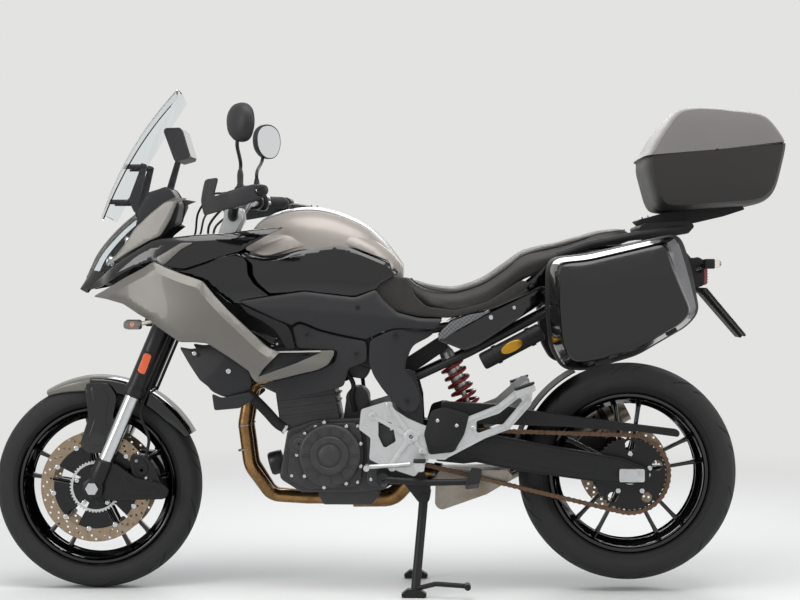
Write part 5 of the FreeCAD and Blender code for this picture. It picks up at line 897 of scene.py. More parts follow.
def nose_part(low, high, left, right, thick=3.0, sunk=0.0, kind=0):
    """A closed shell of one stretch of the nose."""
    return (*shell(nose_sheet(low, high, left, right, sunk), nose_sheet(low, high, left, right, sunk + thick)), kind)


edges = np.linspace(0, 1, 24)
spine = nose_part(0.12, 0.99, -0.20 - 0.16 * edges, 0.20 + 0.16 * edges, 6, -4)
brow = nose_part(0.70, 0.97, -0.97, -0.30 + 0 * edges, 4, -2)
beak = nose_part(0.0, 0.19, -0.98, 0.98, 5, -2, 1)
sill = nose_part(0.17, 0.22, -1.0, -0.16, 5, -1, 1)
add_piece("nose_dressed", [spine, beak] + mirrored([brow, sill]), [grey_paint, gloss_black], "chassis",
          ["headlight"], crease=30)
bowl = nose_part(0.16, 0.76, -1.0, 1.0, 30, 26)
lamps, glow_parts = [], []
for along, out, radius in ((0.36, -0.62, 17), (0.53, -0.66, 19)):
    spot = nose_sheet(along, along + 0.01, out, out + 0.01, 20, 2, 2)[0, 0]
    aim = spot + (-0.93, -0.30, 0.2)
    lamps.append(spun(spot, aim, [(radius, -14), (radius, 0), (radius - 2, 3), (radius - 5, 1), (0.4 * radius, -6),
                                  (0.01, -8)], 40))
    glow_parts.append(spun(spot, aim, [(0.55 * radius, -5), (0.5 * radius, 4), (0.3 * radius, 8), (0.01, 9)], 32))
lens = nose_part(0.20, 0.73, -0.985, -0.24, 2.0, 0)
add_piece("headlight_bowl", [bowl], [matt_black], "chassis")
add_piece("headlight_rings", mirrored(lamps), [bright_steel], "chassis")
add_piece("headlight_lamps", mirrored(glow_parts), [clear_lens], "chassis")
add_piece("headlight_lenses", mirrored([lens]), [clear_lens], "chassis")


# Tank
# A broad painted cover: a silver centre between two seams, silver bands down its sides and black flanks.
# The round filler cap is held by seven small screws.

# Points along the tank as (behind, half width, top, bottom). Each cross section is one ring, as wide as
# the half width says and stretched between top and bottom.
tank = smooth_line([(448, 62, 1040, 930), (470, 96, 1066, 915), (504, 126, 1088, 900), (560, 152, 1106, 892),
                    (620, 166, 1112, 890), (680, 168, 1104, 890), (740, 162, 1083, 888), (790, 148, 1057, 888),
                    (830, 128, 1022, 888), (862, 106, 985, 888), (890, 84, 946, 888)], 80)
half_ring = smooth_line([(0, 1), (0.22, 0.992), (0.42, 0.965), (0.58, 0.91), (0.655, 0.865), (0.675, 0.825),
                         (0.70, 0.83), (0.83, 0.66), (0.93, 0.42), (0.985, 0.14), (1.0, -0.15), (0.98, -0.5),
                         (0.93, -0.8), (0.7, -1.0)], 64)
ring = np.concatenate([half_ring, half_ring[::-1] * (-1, 1)])
behind, half, top, bottom = (tank[:, column][:, None] for column in range(4))
middle, rise = (top + bottom) / 2, (top - bottom) / 2
rings = np.stack([np.broadcast_to(behind, (len(tank), len(ring))), half * ring[:, 0], middle + rise * ring[:, 1]], -1)
cap_ring, cap_top = (
    [spun((598, 0, low), (600.6, 0, high), [(radius, 0), (radius, high - low - 3), (radius - 1, high - low - 1),
                                            (radius - 3, high - low), (0.01, high - low)], 48)]
    for radius, low, high in ((46, 1096, 1114.5), (33, 1104, 1118.5)))
cap_ring += [bolt((598 + spot[0], spot[2], 1113.5), (0, 0, 1), 2.6, 2) for spot in ring_of(7, 40, (0, 0, 0))]
tank_grey = finish_of("tank_grey", "#4c4d4f", 0.3, metal=0.35, coat=0.4, uneven=0.03)
skin = lofted(rings)
far = np.abs(ring[np.arange(len(skin[1])) % len(ring), 0])
add_piece("tank_dressed", [(*skin, [int(share > 0.66) for share in far])], [tank_grey, silver_paint], "chassis",
          ["fuel_tank"], crease=24)
add_piece("tank_cap", [(*part, 0) for part in cap_ring] + [(*part, 1) for part in cap_top], [satin_black, silver_paint],
          "chassis")

tank_base = ruled((850, [(380, -150), (520, -186), (680, -196), (800, -180), (910, -140)]),
                  (1070, [(380, -120), (520, -150), (680, -160), (800, -148), (910, -110)]), 7, 950, 60)
band = [(440, 984), (447, 1000), (489, 1024), (541, 1043), (583, 1053), (640, 1062), (683, 1066), (725, 1056),
        (774, 1032), (825, 1003), (859, 977), (881, 949), (890, 917), (862, 912), (853, 951), (811, 968), (754, 991),
        (711, 1008), (683, 1011), (640, 1002), (569, 985), (512, 968), (489, 968), (455, 980)]
band_line = np.array(band[1:13], float)


def band_depth(behind, height):
    """The side band's face: it rolls in along its upper edge to meet the tank's seam."""
    return tank_base(behind, height) + 0.030 * np.maximum(30 - beside(band_line, behind, height), 0) ** 2 + 1


flank = [(415, 951), (435, 977), (491, 965), (528, 966), (599, 985), (698, 1007), (726, 1001), (803, 970), (852, 949),
         (882, 920), (854, 903), (825, 888), (814, 871), (774, 849), (740, 846), (684, 852), (613, 863), (570, 855),
         (528, 852), (471, 863), (440, 889), (421, 917)]
flank_line = np.array(flank[1:10], float)


def flank_depth(behind, height):
    """The black flank's face, bulged outwards at its middle and leaning in along its upper edge."""
    bulge = -6 * np.exp(-((behind - 640) / 140) ** 2 - ((height - 915) / 45) ** 2)
    return tank_base(behind, height) + bulge + 0.55 * np.maximum(13 - beside(flank_line, behind, height), 0)


parts = [cover(band, band_depth, 9, roll=2.5, kind=1), cover(flank, flank_depth, 9, lines=[parallel(flank_line, -13)])]
add_piece("tank_sides_dressed", mirrored(parts), [gloss_black, silver_paint], "chassis", ["tank_sides"],
          crease=24)


# Side covers
# Matt moulded covers, screwed over the frame between the tank and the engine: an upper and a lower one
# with a dark strip between them, and a rear one down towards the swingarm's pivot.

side_base = ruled((600, [(380, -190), (520, -192), (700, -188), (860, -176), (1000, -160)]),
                  (880, [(380, -182), (520, -190), (700, -192), (860, -170), (1000, -150)]))
rear_base = ruled((520, [(780, -172), (880, -170), (1000, -160)]), (780, [(780, -180), (880, -168), (1000, -152)]))
upper = [(424, 838), (514, 852), (613, 866), (755, 849), (776, 856), (814, 872), (838, 840), (876, 806), (938, 790),
         (1006, 788), (983, 757), (910, 761), (868, 761), (831, 750), (794, 733), (786, 730), (712, 745), (655, 759),
         (616, 776), (597, 782), (576, 768), (565, 776), (542, 784), (491, 807)]
strip = [(428, 832), (491, 802), (542, 779), (566, 768), (577, 747), (588, 702), (565, 700), (548, 730), (531, 756),
         (491, 784), (452, 803)]
lower = [(578, 762), (598, 776), (615, 771), (655, 754), (712, 739), (783, 725), (789, 714), (789, 668), (738, 647),
         (724, 597), (683, 585), (598, 568), (547, 570), (492, 596), (500, 606), (598, 630), (655, 644), (698, 664),
         (708, 698), (592, 704)]
node = [(798, 727), (830, 744), (867, 759), (910, 756), (983, 751), (966, 736), (921, 713), (903, 678), (897, 644),
        (928, 605), (940, 582), (940, 545), (926, 523), (895, 523), (868, 548), (834, 588), (808, 627), (794, 667)]
upper_line = np.array(upper[:10], float)


def upper_depth(behind, height):
    """The upper cover's face: a soft ridge along its length that falls away below and above."""
    ridge = np.interp(behind, [420, 600, 780, 1000], [822, 815, 800, 772])
    top = beside(upper_line, behind, height)
    return side_base(behind, height) - 5 + 0.16 * np.abs(height - ridge) + 0.4 * np.maximum(9 - top, 0)


parts = [
    cover(upper, upper_depth, 9, lines=[parallel(upper_line, -9), [(430, 822), (600, 815), (780, 800), (1000, 772)]]),
    cover(strip, lambda u, z: side_base(u, z) - 3, 6, roll=2, kind=1),
    cover(lower, lambda u, z: side_base(u, z) + 4 + 6 * eased(np.abs(z - 660), 0, 90), 9),
    cover(node, lambda u, z: rear_base(u, z) + 0.10 * np.abs(u - np.interp(z, [520, 620, 760], [912, 850, 850])), 12,
          lines=[[(912, 520), (850, 620), (850, 756)]]),
]
add_piece("side_covers_dressed", mirrored(parts), [matt_grey, matt_black], "chassis", ["side_covers"],
          crease=22)
screws = []
for behind, height, depth in ((764, 822, side_base), (872, 742, rear_base), (905, 556, rear_base),
                              (620, 744, side_base), (760, 690, side_base)):
    screws.append(bolt((behind, float(depth(behind, height)) - 3, height), (0, -1, 0), 6.5, 2.5))
add_piece("side_cover_screws", mirrored(screws), [satin_black], "chassis")


# Radiator shrouds and radiator
# Matt moulded shrouds, one screwed over each end of the dark aluminium radiator.

shroud_line = [(230, -176), (340, -186), (480, -196)]
shroud_base = ruled((500, shroud_line), (740, shroud_line), 8, 640, 90)
shroud = [(253, 708), (287, 702), (330, 708), (349, 719), (400, 679), (457, 640), (463, 606), (457, 585), (406, 563),
          (377, 568), (349, 582), (338, 597), (315, 614), (285, 657)]
shroud_low = [(349, 576), (377, 564), (457, 581), (472, 566), (457, 553), (428, 534), (355, 527)]
parts = [cover(shroud, lambda u, z: shroud_base(u, z) + 0.12 * np.abs(u - 0.9 * (z - 640) - 360), 8),
         cover(shroud_low, lambda u, z: shroud_base(u, z) + 6, 6)]
add_piece("radiator_shrouds_dressed", mirrored(parts), [matt_grey], "chassis", ["radiator_shrouds"])
screws = bolts(-188, [(398, 640)], (0, -1, 0), 7, 2) + bolts(-181, [(300, 690)], (0, -1, 0), 6, 2)
add_piece("radiator_shroud_screws", mirrored(screws), [bright_steel], "chassis")
paint(matt_black, "radiator")


# Tail
# Moulded gloss black panels and a patterned silver sliver, screwed on below the passenger's seat and
# over the luggage stays.

tail_base = ruled((700, [(980, -150), (1150, -150), (1350, -140), (1550, -126), (1740, -108)]),
                  (1030, [(980, -150), (1150, -152), (1350, -140), (1550, -124), (1740, -104)]))
sliver = [(988, 731), (1003, 757), (1029, 780), (1080, 800), (1143, 810), (1108, 790), (1051, 759), (1009, 731)]
black = [(988, 727), (1052, 756), (1143, 807), (1222, 844), (1279, 873), (1302, 842), (1251, 808), (1165, 751),
         (1103, 711), (1066, 697), (1023, 714)]
upper_tail = [(1010, 772), (1040, 792), (1137, 822), (1200, 854), (1266, 908), (1310, 957), (1420, 994), (1600, 1006),
              (1690, 990), (1716, 960), (1500, 912), (1330, 868), (1285, 880), (1222, 850), (1143, 814), (1080, 804)]
carbon, shader = new_material("woven_grey", {"Metallic": 0.6, "Roughness": 0.35})
place = node_of(carbon.node_tree, "ShaderNodeTexCoord").outputs["Object"]
checks = node_of(carbon.node_tree, "ShaderNodeTexChecker",
                 {"Scale": 160, "Color1": srgb("#77787a"), "Color2": srgb("#5c5d60"), "Vector": place})
feed(shader, {"Base Color": checks.outputs["Color"]})
parts = [cover(sliver, lambda u, z: tail_base(u, z) - 2, 4, roll=2, spacing=9, kind=1),
         cover(black, lambda u, z: tail_base(u, z) + 0.06 * np.abs(z - 0.55 * (u - 988) - 730), 7),
         cover(upper_tail, lambda u, z: tail_base(u, z) + 3 + 0.10 * np.abs(z - 975) * (u > 1250), 7)]
add_piece("tail_panels_dressed", mirrored(parts), [gloss_black, carbon], "chassis", ["tail_panels"])
screws = bolts(-154, [(1142, 792)], (0, -1, 0), 6, 2.5) + bolts(-152, [(1208, 820)], (0, -1, 0), 5, 2)
add_piece("tail_screws", mirrored(screws), [bright_steel], "chassis")


# Handlebar and controls
# A tapered black bar, clamped in two screwed risers, with ribbed rubber grips, moulded switch housings,
# levers and bar-end weights.

BAR_CLAMP = 30.4, 0, 876.2
BAR = [fork_place(BAR_CLAMP) + shift for shift in ((0, 0, 0), (0, -70, 0), (20, -190, 51), (111, -430, 57))]


def along_bar(share):
    """A point on the straight outer stretch of the bar's left half."""
    return BAR[2] + (BAR[3] - BAR[2]) * share


def hose(points, radius, steps=48, sides=14):
    """A round tube along a smooth line through the points, its rings square to the line."""
    line = smooth_line(points, steps)
    ahead = np.gradient(line, axis=0)
    ahead /= np.linalg.norm(ahead, axis=1)[:, None]
    first = np.cross(ahead, (0.12, 0.94, 0.31))
    first /= np.linalg.norm(first, axis=1)[:, None]
    second = np.cross(ahead, first)
    angle = 2 * np.pi * np.arange(sides) / sides
    return lofted(line[:, None] + radius * (np.cos(angle)[None, :, None] * first[:, None]
                                            + np.sin(angle)[None, :, None] * second[:, None]))


start, end = along_bar(0.42), along_bar(0.96)
length = float(np.linalg.norm(end - start))
# The grip's radius steps up and down as a square wave between plain ends, with a flange at its inner end.
steps = np.linspace(1, length - 1, 150)
ribs = 17.4 + 0.8 * (np.sin(steps * 2 * np.pi / 5.2) > 0) * (steps > 12) * (steps < length - 14)
ribs += 3.5 * (steps < 5)
grip = spun(start, end, np.stack([ribs, steps], -1), 36)
weight = spun(along_bar(1.0), along_bar(1.2), [(0.01, 0.5), (16, 0.5), (17.4, 3), (17.4, 22), (15, 30), (8, 33),
                                               (0.01, 33)], 36)
add_piece("grip_rubbers", mirrored([grip]), [rubber], "steering", crease=20)
add_piece("bar_weights", mirrored([weight]), [satin_black], "steering")
paint(rubber, "hand_controls")
paint(cast_silver, "handlebar")
bar_half = hose([BAR[0] + (0, 2, 0), BAR[1], BAR[1] * 0.55 + BAR[2] * 0.45, BAR[2], along_bar(0.3)], 15, 70, 20)
add_piece("bar_paint", mirrored([bar_half]), [satin_black], "steering")
switches, clamp = along_bar(0.34), along_bar(0.215)
housing = np.array([(-26, -24), (16, -27), (25, -4), (18, 24), (-20, 25), (-30, 0)]) + switches[[0, 2]]
controls = [casting(housing, switches[1] - 17, switches[1] + 19, 9, 4),
            spun(clamp + (-2, 12, 0), clamp + (2, -12, 0),
                 [(14.2, 0), (22, 0), (23, 3), (23, 21), (22, 24), (14.2, 24)], 32)]
keys = [spun(switches + shift, switches + shift + (1, 0, 0.3), [(5.5, -3), (5.5, 3), (4.5, 4.5), (0.01, 4.5)], 16)
        for shift in np.array([(22, -8, 12), (25, 2, -2), (20, 8, 14)])]
add_piece("switch_housings", mirrored(controls), [satin_black], "steering")
add_piece("switch_keys", mirrored(keys), [cast_silver], "steering")
right_bar = along_bar(0.2) * (1, -1, 1)
pot = right_bar + (-30, 8, 30)
pot_profile = [(0.01, -14), (16, -14), (18, -12), (18, 10), (20, 11), (20, 18), (18, 20), (0.01, 20)]
parts = [spun(pot, pot + (0, 0, 1), pot_profile, 40),
         spun(pot + (0, 0, -12), right_bar, [(0.01, 0), (8, 0), (8, 22), (0.01, 22)], 16)]
add_piece("brake_fluid_pot", parts, [satin_black], "steering")
screws = [bolt(BAR[0] + (back, -46, 12), (lean, 0, 1), 4.5, 4) for back, lean in ((20, 0.4), (-18, -0.4))]
add_piece("riser_screws", mirrored(screws), [bright_steel], "steering")
cables = [hose([along_bar(0.22) + (-24, 4, 0), along_bar(0.1) + (-70, 20, 6),
                *fork_place([(-62, -96, 850), (-52, -60, 790), (-46, -52, 735)])], 3.2),
          hose([along_bar(0.3) + (-10, 10, -22), along_bar(0.05) + (-30, 22, -24),
                *fork_place([(-20, -84, 830), (-8, -62, 780)])], 3.6)]
add_piece("control_cables", mirrored(cables), [rubber], "steering")


# Hand guards and mirrors
# Moulded wind guards bolted to the bar ends, and mirrors in rounded shells on bent round stems.

tip = BAR[3]
guard_line = smooth_line(np.array([(-189, 200), (-157, 95), (-89, 5), (8, -24), (56, -30)]) + tip[:2], 80)
guard_edge = np.array([(-180, -21), (-161, 36), (-115, 38), (-130, -14), (-72, 3), (-9, 19), (20, -1), (10, -22),
                       (-53, -42), (-120, -56), (-166, -64)]) + tip[[0, 2]]


def guard_depth(behind, height):
    """The guard's face along its curve, read between its points, and bowed between its two edges."""
    return np.interp(behind, *guard_line.T) + 5 * ((height - tip[2]) / 45) ** 2 - 2


guard = cover(guard_edge, guard_depth, 10, wall=9, roll=4, spacing=6)
add_piece("hand_guards_dressed", mirrored([guard]), [matt_grey], "steering", ["hand_guards"], crease=30)
add_piece("hand_guard_screws", mirrored([bolt(tip + (0, -28, 0), (0.1, -1, 0), 6.5, 3)]), [bright_steel], "steering")

mirror_glass = new_material("mirror_glass", {"Base Color": (0.8, 0.82, 0.84, 1), "Metallic": 1.0, "Roughness": 0.02})[0]
head = tip + (-47, 45, 178)
face = rounded([(-54, 2), (-46, 46), (-10, 67), (36, 61), (58, 30), (50, -18), (16, -45), (-32, -40)], 26, 7)
cos, sin = math.cos(math.radians(40)), math.sin(math.radians(40))


def mirror_ring(scale, back):
    """The mirror's outline, scaled, set back, and turned forty degrees."""
    across, up = face[:, 0] * scale, face[:, 1] * scale
    return head + np.stack([back * cos - across * sin, back * sin + across * cos, up], -1)


foot = clamp + (0, 0, 21)
shells = [lofted([mirror_ring(scale, back) for scale, back in ((0.93, 1.5), (0.985, 1.5), (1.0, -1), (1.0, -9),
                                                               (0.95, -18), (0.82, -26), (0.6, -32), (0.3, -35.5))]),
          hose([foot, foot + (0, 0, 40), foot + (1, -3, 72), head + (-20, 20, -52), head + (-16, 8, -22),
                head + (-14, 4, -6)], 5.2),
          spun(foot + (0, 0, -4), foot + (0, 0, 20),
               [(0.01, 0), (10, 0), (10.5, 2), (10.5, 12), (8.5, 15), (9, 40), (7, 52), (5, 56)], 24)]
add_piece("mirrors_dressed", mirrored(shells), [matt_grey], "steering", ["mirrors"], crease=40)
glass = lofted([mirror_ring(0.925, 1.2), mirror_ring(0.925, 2.2)])
add_piece("mirror_glasses", mirrored([glass]), [mirror_glass], "steering")


# Cockpit and screen
# A swept clear screen on four rubber-set screws, over a flat glass instrument and its dark moulded
# surround.

paint(matt_grey, "cockpit")
screen_glass = new_material("screen_glass", {"Base Color": (0.86, 0.9, 0.92, 1), "Roughness": 0.02,
                                             "Transmission Weight": 1.0, "IOR": 1.15})[0]
paint(screen_glass, "windscreen")
display_glass = finish_of("display_glass", "#050609", 0.08, coat=1.0)


def tilted(low, high, half, thick, bend=10.0, margin=0.0):
    """A flat plate across the machine between two side-view points, standing out behind their line."""
    low, high = np.array(low, float), np.array(high, float)
    run = high - low
    length = float(np.hypot(*run))
    run /= length
    out = np.array([run[1], -run[0]])
    half, far = half - margin, length - margin
    edge = rounded([(-half, margin), (half, margin), (half, far), (-half, far)], bend)
    rings = []
    for inset, rise in ((0, 0), (0, thick - 0.8), (0.8, thick)):
        ring = shrunk(edge, inset) if inset else edge
        flat = low + run * ring[:, 1:] + out * rise
        rings.append(np.stack([flat[:, 0], ring[:, 0], flat[:, 1]], -1))
    return lofted(rings)


add_piece("instrument_glass", [tilted((276, 1250), (250, 1337), 84, 2.4, 10, 6)], [display_glass], "chassis")
hood = cover([(118, 1090), (152, 1148), (212, 1172), (246, 1120), (232, 1058), (190, 1044), (132, 1056)],
             lambda u, z: -78 + 0 * u, 18, wall=5)
add_piece("cockpit_sides", mirrored([hood]), [matt_grey], "chassis")
screws = [bolt((behind, -67, height), (-1, -0.3, 0.5), 7.5, 4) for behind, height in ((96, 1127), (134, 1229))]
add_piece("screen_screws", mirrored(screws), [satin_black], "chassis")


# Engine
# A water-cooled twin in dark painted castings, with screwed covers, an oil filler, hoses and plug caps.

engine_paint = finish_of("engine_paint", "#3a3a3b", 0.42, metal=0.3, grain=0.12, fine=1100, uneven=0.08, patch=30,
                         stain="#4f4c47", stained=0.45)
paint(engine_paint, "engine_block engine_covers")
screws = [bolt(spot, (0, -1, 0), 5.2, 3.5) for spot in ring_of(9, 94, (683, -152.3, 400), 20)]
screws += bolts(-146.3, [(574, 340), (580, 448), (642, 480), (762, 482), (762, 322), (800, 330), (800, 476), (858, 474),
                         (862, 352)], (0, -1, 0), 4.6, 3)
screws += [bolt(spot, (0, 1, 0), 5.2, 3.5) for spot in ring_of(9, 88, (690, 150.3, 395), 20)]
screws += bolts(144.3, [(574, 340), (580, 448), (642, 480), (820, 470), (826, 332)], (0, 1, 0), 4.6, 3)
for side in (-1, 1):
    screws += bolts(side * 100, [(524, 652), (560, 658), (610, 665), (660, 671)], (0, side, 0), 4.4, 4)
    screws += bolts(side * 92, [(528, 714), (650, 730)], (0, side, 0), 4.2, 4)
add_piece("engine_screws", screws, [bright_steel], "chassis")
cover_face = (683, -174.4, 400)
covers = [turned([(36, 0), (54, 0), (54, -2.5), (52, -4), (38, -4), (36, -2.5)], cover_face, 72),
          turned([(0.01, 0), (30, 0), (30, -2), (26, -4.5), (12, -5), (0.01, -5)], cover_face, 60),
          turned([(4, 0), (17, 0), (17, -3), (14, -5), (4, -5)], (596, -160.3, 432), 36)]
right_covers = [(part[0] * (1, -1, 1) + (7, -12, -5), *part[1:]) for part in covers[:2]]
for way in ring_of(12, 1, (0, 0, 0)):
    spot, side = (683, -171, 400) + 67 * way, np.array([-way[2], 0, way[0]])
    covers.append(lofted([[spot + way * out + side * wide + (0, deep, 0)
                           for out, wide in ((-11, -1.6), (11, -1.6), (11, 1.6), (-11, 1.6))] for deep in (2, -2.6)]))
filler = spun((800, -92, 476), (812, -100, 500), [(0.01, 0), (16, 0), (18, 3), (18, 14), (14, 18), (0.01, 18)], 10)
add_piece("engine_cover_rings", covers + right_covers + [filler], [engine_paint], "chassis", crease=30)
tubes = [hose([(390, -120, 612), (420, -132, 590), (462, -128, 560), (500, -112, 520), (530, -104, 486),
               (556, -100, 470)], 15, 60, 20),
         hose([(372, 110, 744), (410, 108, 742), (450, 96, 722), (484, 84, 700), (512, 72, 690)], 16, 60, 20),
         hose([(700, -92, 660), (724, -104, 640), (748, -108, 600), (744, -96, 560), (752, -84, 520)], 7, 60, 14),
         hose([(520, -70, 742), (560, -84, 752), (620, -88, 756), (690, -92, 742), (740, -96, 700)], 5, 60, 12),
         hose([(640, 60, 752), (680, 78, 748), (730, 90, 700), (760, 92, 640), (770, 88, 580)], 6, 60, 12)]
add_piece("engine_hoses", tubes, [rubber], "chassis")
clips = [spun(start, end, [(radius - 2, 0), (radius, 0), (radius, 8), (radius - 2, 8)], 32) for start, end, radius in
         (((396, -122, 606), (404, -126, 601), 17), ((548, -101, 474), (555, -100, 470), 17),
          ((380, 110, 744), (390, 109, 744), 18), ((500, 78, 693), (508, 74, 691), 18))]
add_piece("hose_clips", clips, [bright_steel], "chassis")
coils = [spun((560, side, 738), (566, side, 760), [(0.01, 0), (12, 0), (13, 2), (13, 16), (10, 20), (0.01, 20)], 20)
         for side in (-46, 46)]
add_piece("ignition_caps", coils, [rubber], "chassis")
can = spun((536, -40, 372), (500, -40, 362), [(0.01, -6), (33, -6), (34, -3), (34, 28), (30, 34), (0.01, 36)], 24)
add_piece("oil_filter", [can], [satin_black], "chassis")


# Exhaust
# Two steel header pipes, bronze from heat, into a raw steel box and a silencer on the right side.

bronze_steel = finish_of("bronze_steel", "#94734a", 0.27, metal=0.95, uneven=0.12, patch=14, stain="#4e3120",
                         stained=0.7)
raw_steel = finish_of("raw_steel", "#948e85", 0.33, metal=0.9, uneven=0.12, patch=12, stain="#6f5b42", stained=0.6)
paint(bronze_steel, "exhaust_headers")
paint(raw_steel, "silencer")
start, end = np.array([1262, 207, 346.0]), np.array([1520, 222, 486.0])
length = float(np.linalg.norm(end - start))
bands = [spun(start, end, [(54, low), (58.5, low), (59, low + 2), (59, high - 2), (58.5, high), (54, high)], 64)
         for low, high in ((8, 24), (length - 40, length - 22))]
bands.append(spun(start, end, [(56, length - 3), (57, length + 2), (50, length + 12), (36, length + 16),
                               (32, length + 16)], 64))
add_piece("silencer_bands", bands, [satin_black], "chassis")
joins = []
for side in (-52, 52):
    port, bend = np.array([515.6, side, 610.0]), np.array([450, side, 598.0])
    joins.append(spun(port + (bend - port) * 0.16, bend, [(18, 0), (23, 1), (24, 4), (23, 8), (18, 9)], 32))
    joins += [spun((431, side, height), (433, side, height - 12), [(19, 0), (21, 1), (21, 5), (19, 6)], 32)
              for height in (480, 410)]
add_piece("header_collars", joins, [raw_steel], "chassis")


# Swingarm, shock and chain guard
# A cast black arm with bright adjusters, a red-sprung damper, and its dark bottle with a blank gold oval plate.

frame_black = finish_of("frame_black", "#1b1b1c", 0.44, metal=0.25, grain=0.06, uneven=0.06)
paint(frame_black, "swingarm main_frame subframe front_stay centre_stand side_stand")
paint(matt_black, "rear_hugger")
arm = [(884, 446), (908, 478), (1012, 476), (1336, 418), (1508, 388), (1586, 358), (1586, 320), (1452, 327),
       (1222, 360), (1006, 404), (918, 414)]
raised = [(1010, 462), (1330, 408), (1440, 392), (1436, 344), (1228, 374), (1016, 416)]
parts = [casting(arm, -147.5, -144, 20, 2.5), casting(raised, -149, -147, 16, 1.2)]
add_piece("swingarm_faces", mirrored(parts), [frame_black], "chassis", crease=30)
plate = [casting([(1506, 362), (1578, 362), (1578, 324), (1506, 324)], -152.5, -150, 6, 1.2),
         bolt((1587, -133, 343), (1, 0, 0), 6.5, 8)]
add_piece("chain_adjusters", mirrored(plate), [cast_silver], "chassis")
foot, top = np.array([1106, 0, 473.0]), np.array([1004, 0, 712.0])
gold = finish_of("gold_anodised", "#b98a2e", 0.3, metal=0.9)
damper = [spun(foot, top, [(0.01, 10), (8, 10), (8, 118), (19, 118), (21, 122), (21, 232), (17, 240), (14, 250)], 40),
          turned([(6, -21.5), (13, -21.5), (14, -20), (14, 20), (13, 21.5), (6, 21.5)], foot, 32),
          turned([(6, -26), (14, -26), (15, -24), (15, 24), (14, 26), (6, 26)], top, 32)]
collars = [spun(foot, top, [(8, 34), (38, 34), (40, 36), (40, 42), (37, 44), (8, 44)], 48),
           spun(foot, top, [(21, 200), (37, 200), (40, 202), (40, 208), (38, 210), (21, 212)], 48)]
low, high = np.array([1080, -124, 690.0]), np.array([1290, -116, 800.0])
slope = (high - low) / np.linalg.norm(high - low)
below = low + np.array([slope[2], 0, -slope[0]]) * 40.3
bottle = [spun(below, below + slope, profile, 44) for profile in (
    [(0.01, 20), (17, 20), (23, 22), (25, 28), (25, 206), (23, 211), (17, 214), (0.01, 214)],
    [(25, 62), (28, 62), (28, 74), (25, 74)], [(25, 170), (28, 170), (28, 182), (25, 182)])]
add_piece("damper", [(*part, 0) for part in damper + collars] + [(*part, 1) for part in bottle],
          [cast_silver, matt_black], "chassis", ["shock_absorber"])
across = np.cross(slope, (0, 1, 0))
turn = 2 * np.pi * np.arange(40) / 40
rings = []
for scale, out in ((1, -24), (1, -26.4), (0.94, -27.2)):
    flat = slope * (33 * np.cos(turn))[:, None] + across * (14.5 * np.sin(turn))[:, None]
    rings.append(below + slope * 116 + flat * scale + (0, out, 0))
add_piece("bottle_plate", [lofted(rings)], [gold], "chassis")
spring_red = finish_of("spring_red", "#8a0f12", 0.3, coat=0.6, uneven=0.03)
paint(spring_red, "shock_spring")


# Footrests and brackets
# Bright cast hangers with black heel plates, rubber-topped pegs, and bolt heads at their fixings.

paint(cast_silver, "rider_footrests passenger_footrests")
heel = [(971, 527), (1009, 538), (1080, 518), (1066, 461), (1037, 411), (966, 403), (951, 461)]
hub = [(984, 512), (1010, 522), (1060, 508), (1050, 466), (1028, 426), (976, 418), (966, 462)]
add_piece("heel_plates", mirrored([casting(heel, -175.4, -168.5, 10, 1.6), casting(hub, -176.6, -175, 10, 1)]),
          [matt_black], "chassis")
pads = []
for low, high, start, end in (((922, 387), (957, 387), -254, -184), ((1207, 588), (1262, 607), -236, -184)):
    base = [(low[0], low[1] + 0.5), (high[0], high[1] + 0.5), (high[0], high[1] + 5), (low[0], low[1] + 5)]
    for side in np.linspace(start + 3, end - 3, 7):
        pads.append(casting(base, side - 3.2, side + 3.2, 2, 0.8))
add_piece("peg_rubbers", mirrored(pads), [rubber], "chassis")
bosses = [((915, 454), 21), ((949, 412), 12), ((853, 544), 10), ((806, 512), 11), ((861, 366), 12), ((944, 372), 9)]


def ridge(start, end, width):
    """A raised rib between two side-view points, narrower at its far end."""
    start, end = np.array(start, float), np.array(end, float)
    way = (end - start) / np.hypot(*(end - start))
    aside = np.array([-way[1], way[0]])
    return casting([start + aside * width, end + aside * width * 0.6, end - aside * width * 0.6, start - aside * width],
                   -173, -168, 3, 1.2)


parts = [turned([(0.5 * reach, 0), (reach, 0), (reach - 1, -5), (reach - 3, -6), (0.5 * reach, -6)],
                (place[0], -168.3, place[1]), 40) for place, reach in bosses]
parts += [ridge((915, 454), place, 8) for place in ((858, 538), (812, 508), (858, 374), (946, 416), (958, 470))]
parts += [ridge((1058, 494), (1160, 536), 5), ridge((1160, 536), (1238, 592), 6), ridge((1020, 400), (1180, 482), 5),
          ridge((1184, 484), (1246, 560), 6)]
add_piece("bracket_ribs", mirrored(parts), [cast_silver], "chassis", crease=35)
screws = [bolt((place[0], -168.6, place[1]), (0, -1, 0), 0.55 * reach, 5) for place, reach in bosses]
screws += bolts(-168.6, [(1090, 478), (1236, 588)], (0, -1, 0), 6.5, 4)
screws += bolts(-176, [(990, 500), (1044, 486)], (0, -1, 0), 5, 3)
add_piece("bracket_screws", mirrored(screws), [bright_steel], "chassis")
pivot = [turned([(4, -1), (17, -1), (17, -5), (14, -8), (4, -8)], (914, -159, 447), 40)]
add_piece("pivot_caps", mirrored(pivot), [satin_black], "chassis")


# Seat
# A one-piece stepped seat: foam under grained black vinyl, pulled tight, with piped seams along its edges.

seat_vinyl = finish_of("seat_vinyl", "#2a2725", 0.5, grain=0.35, fine=650, uneven=0.06, stain="#3b3733", stained=0.4)
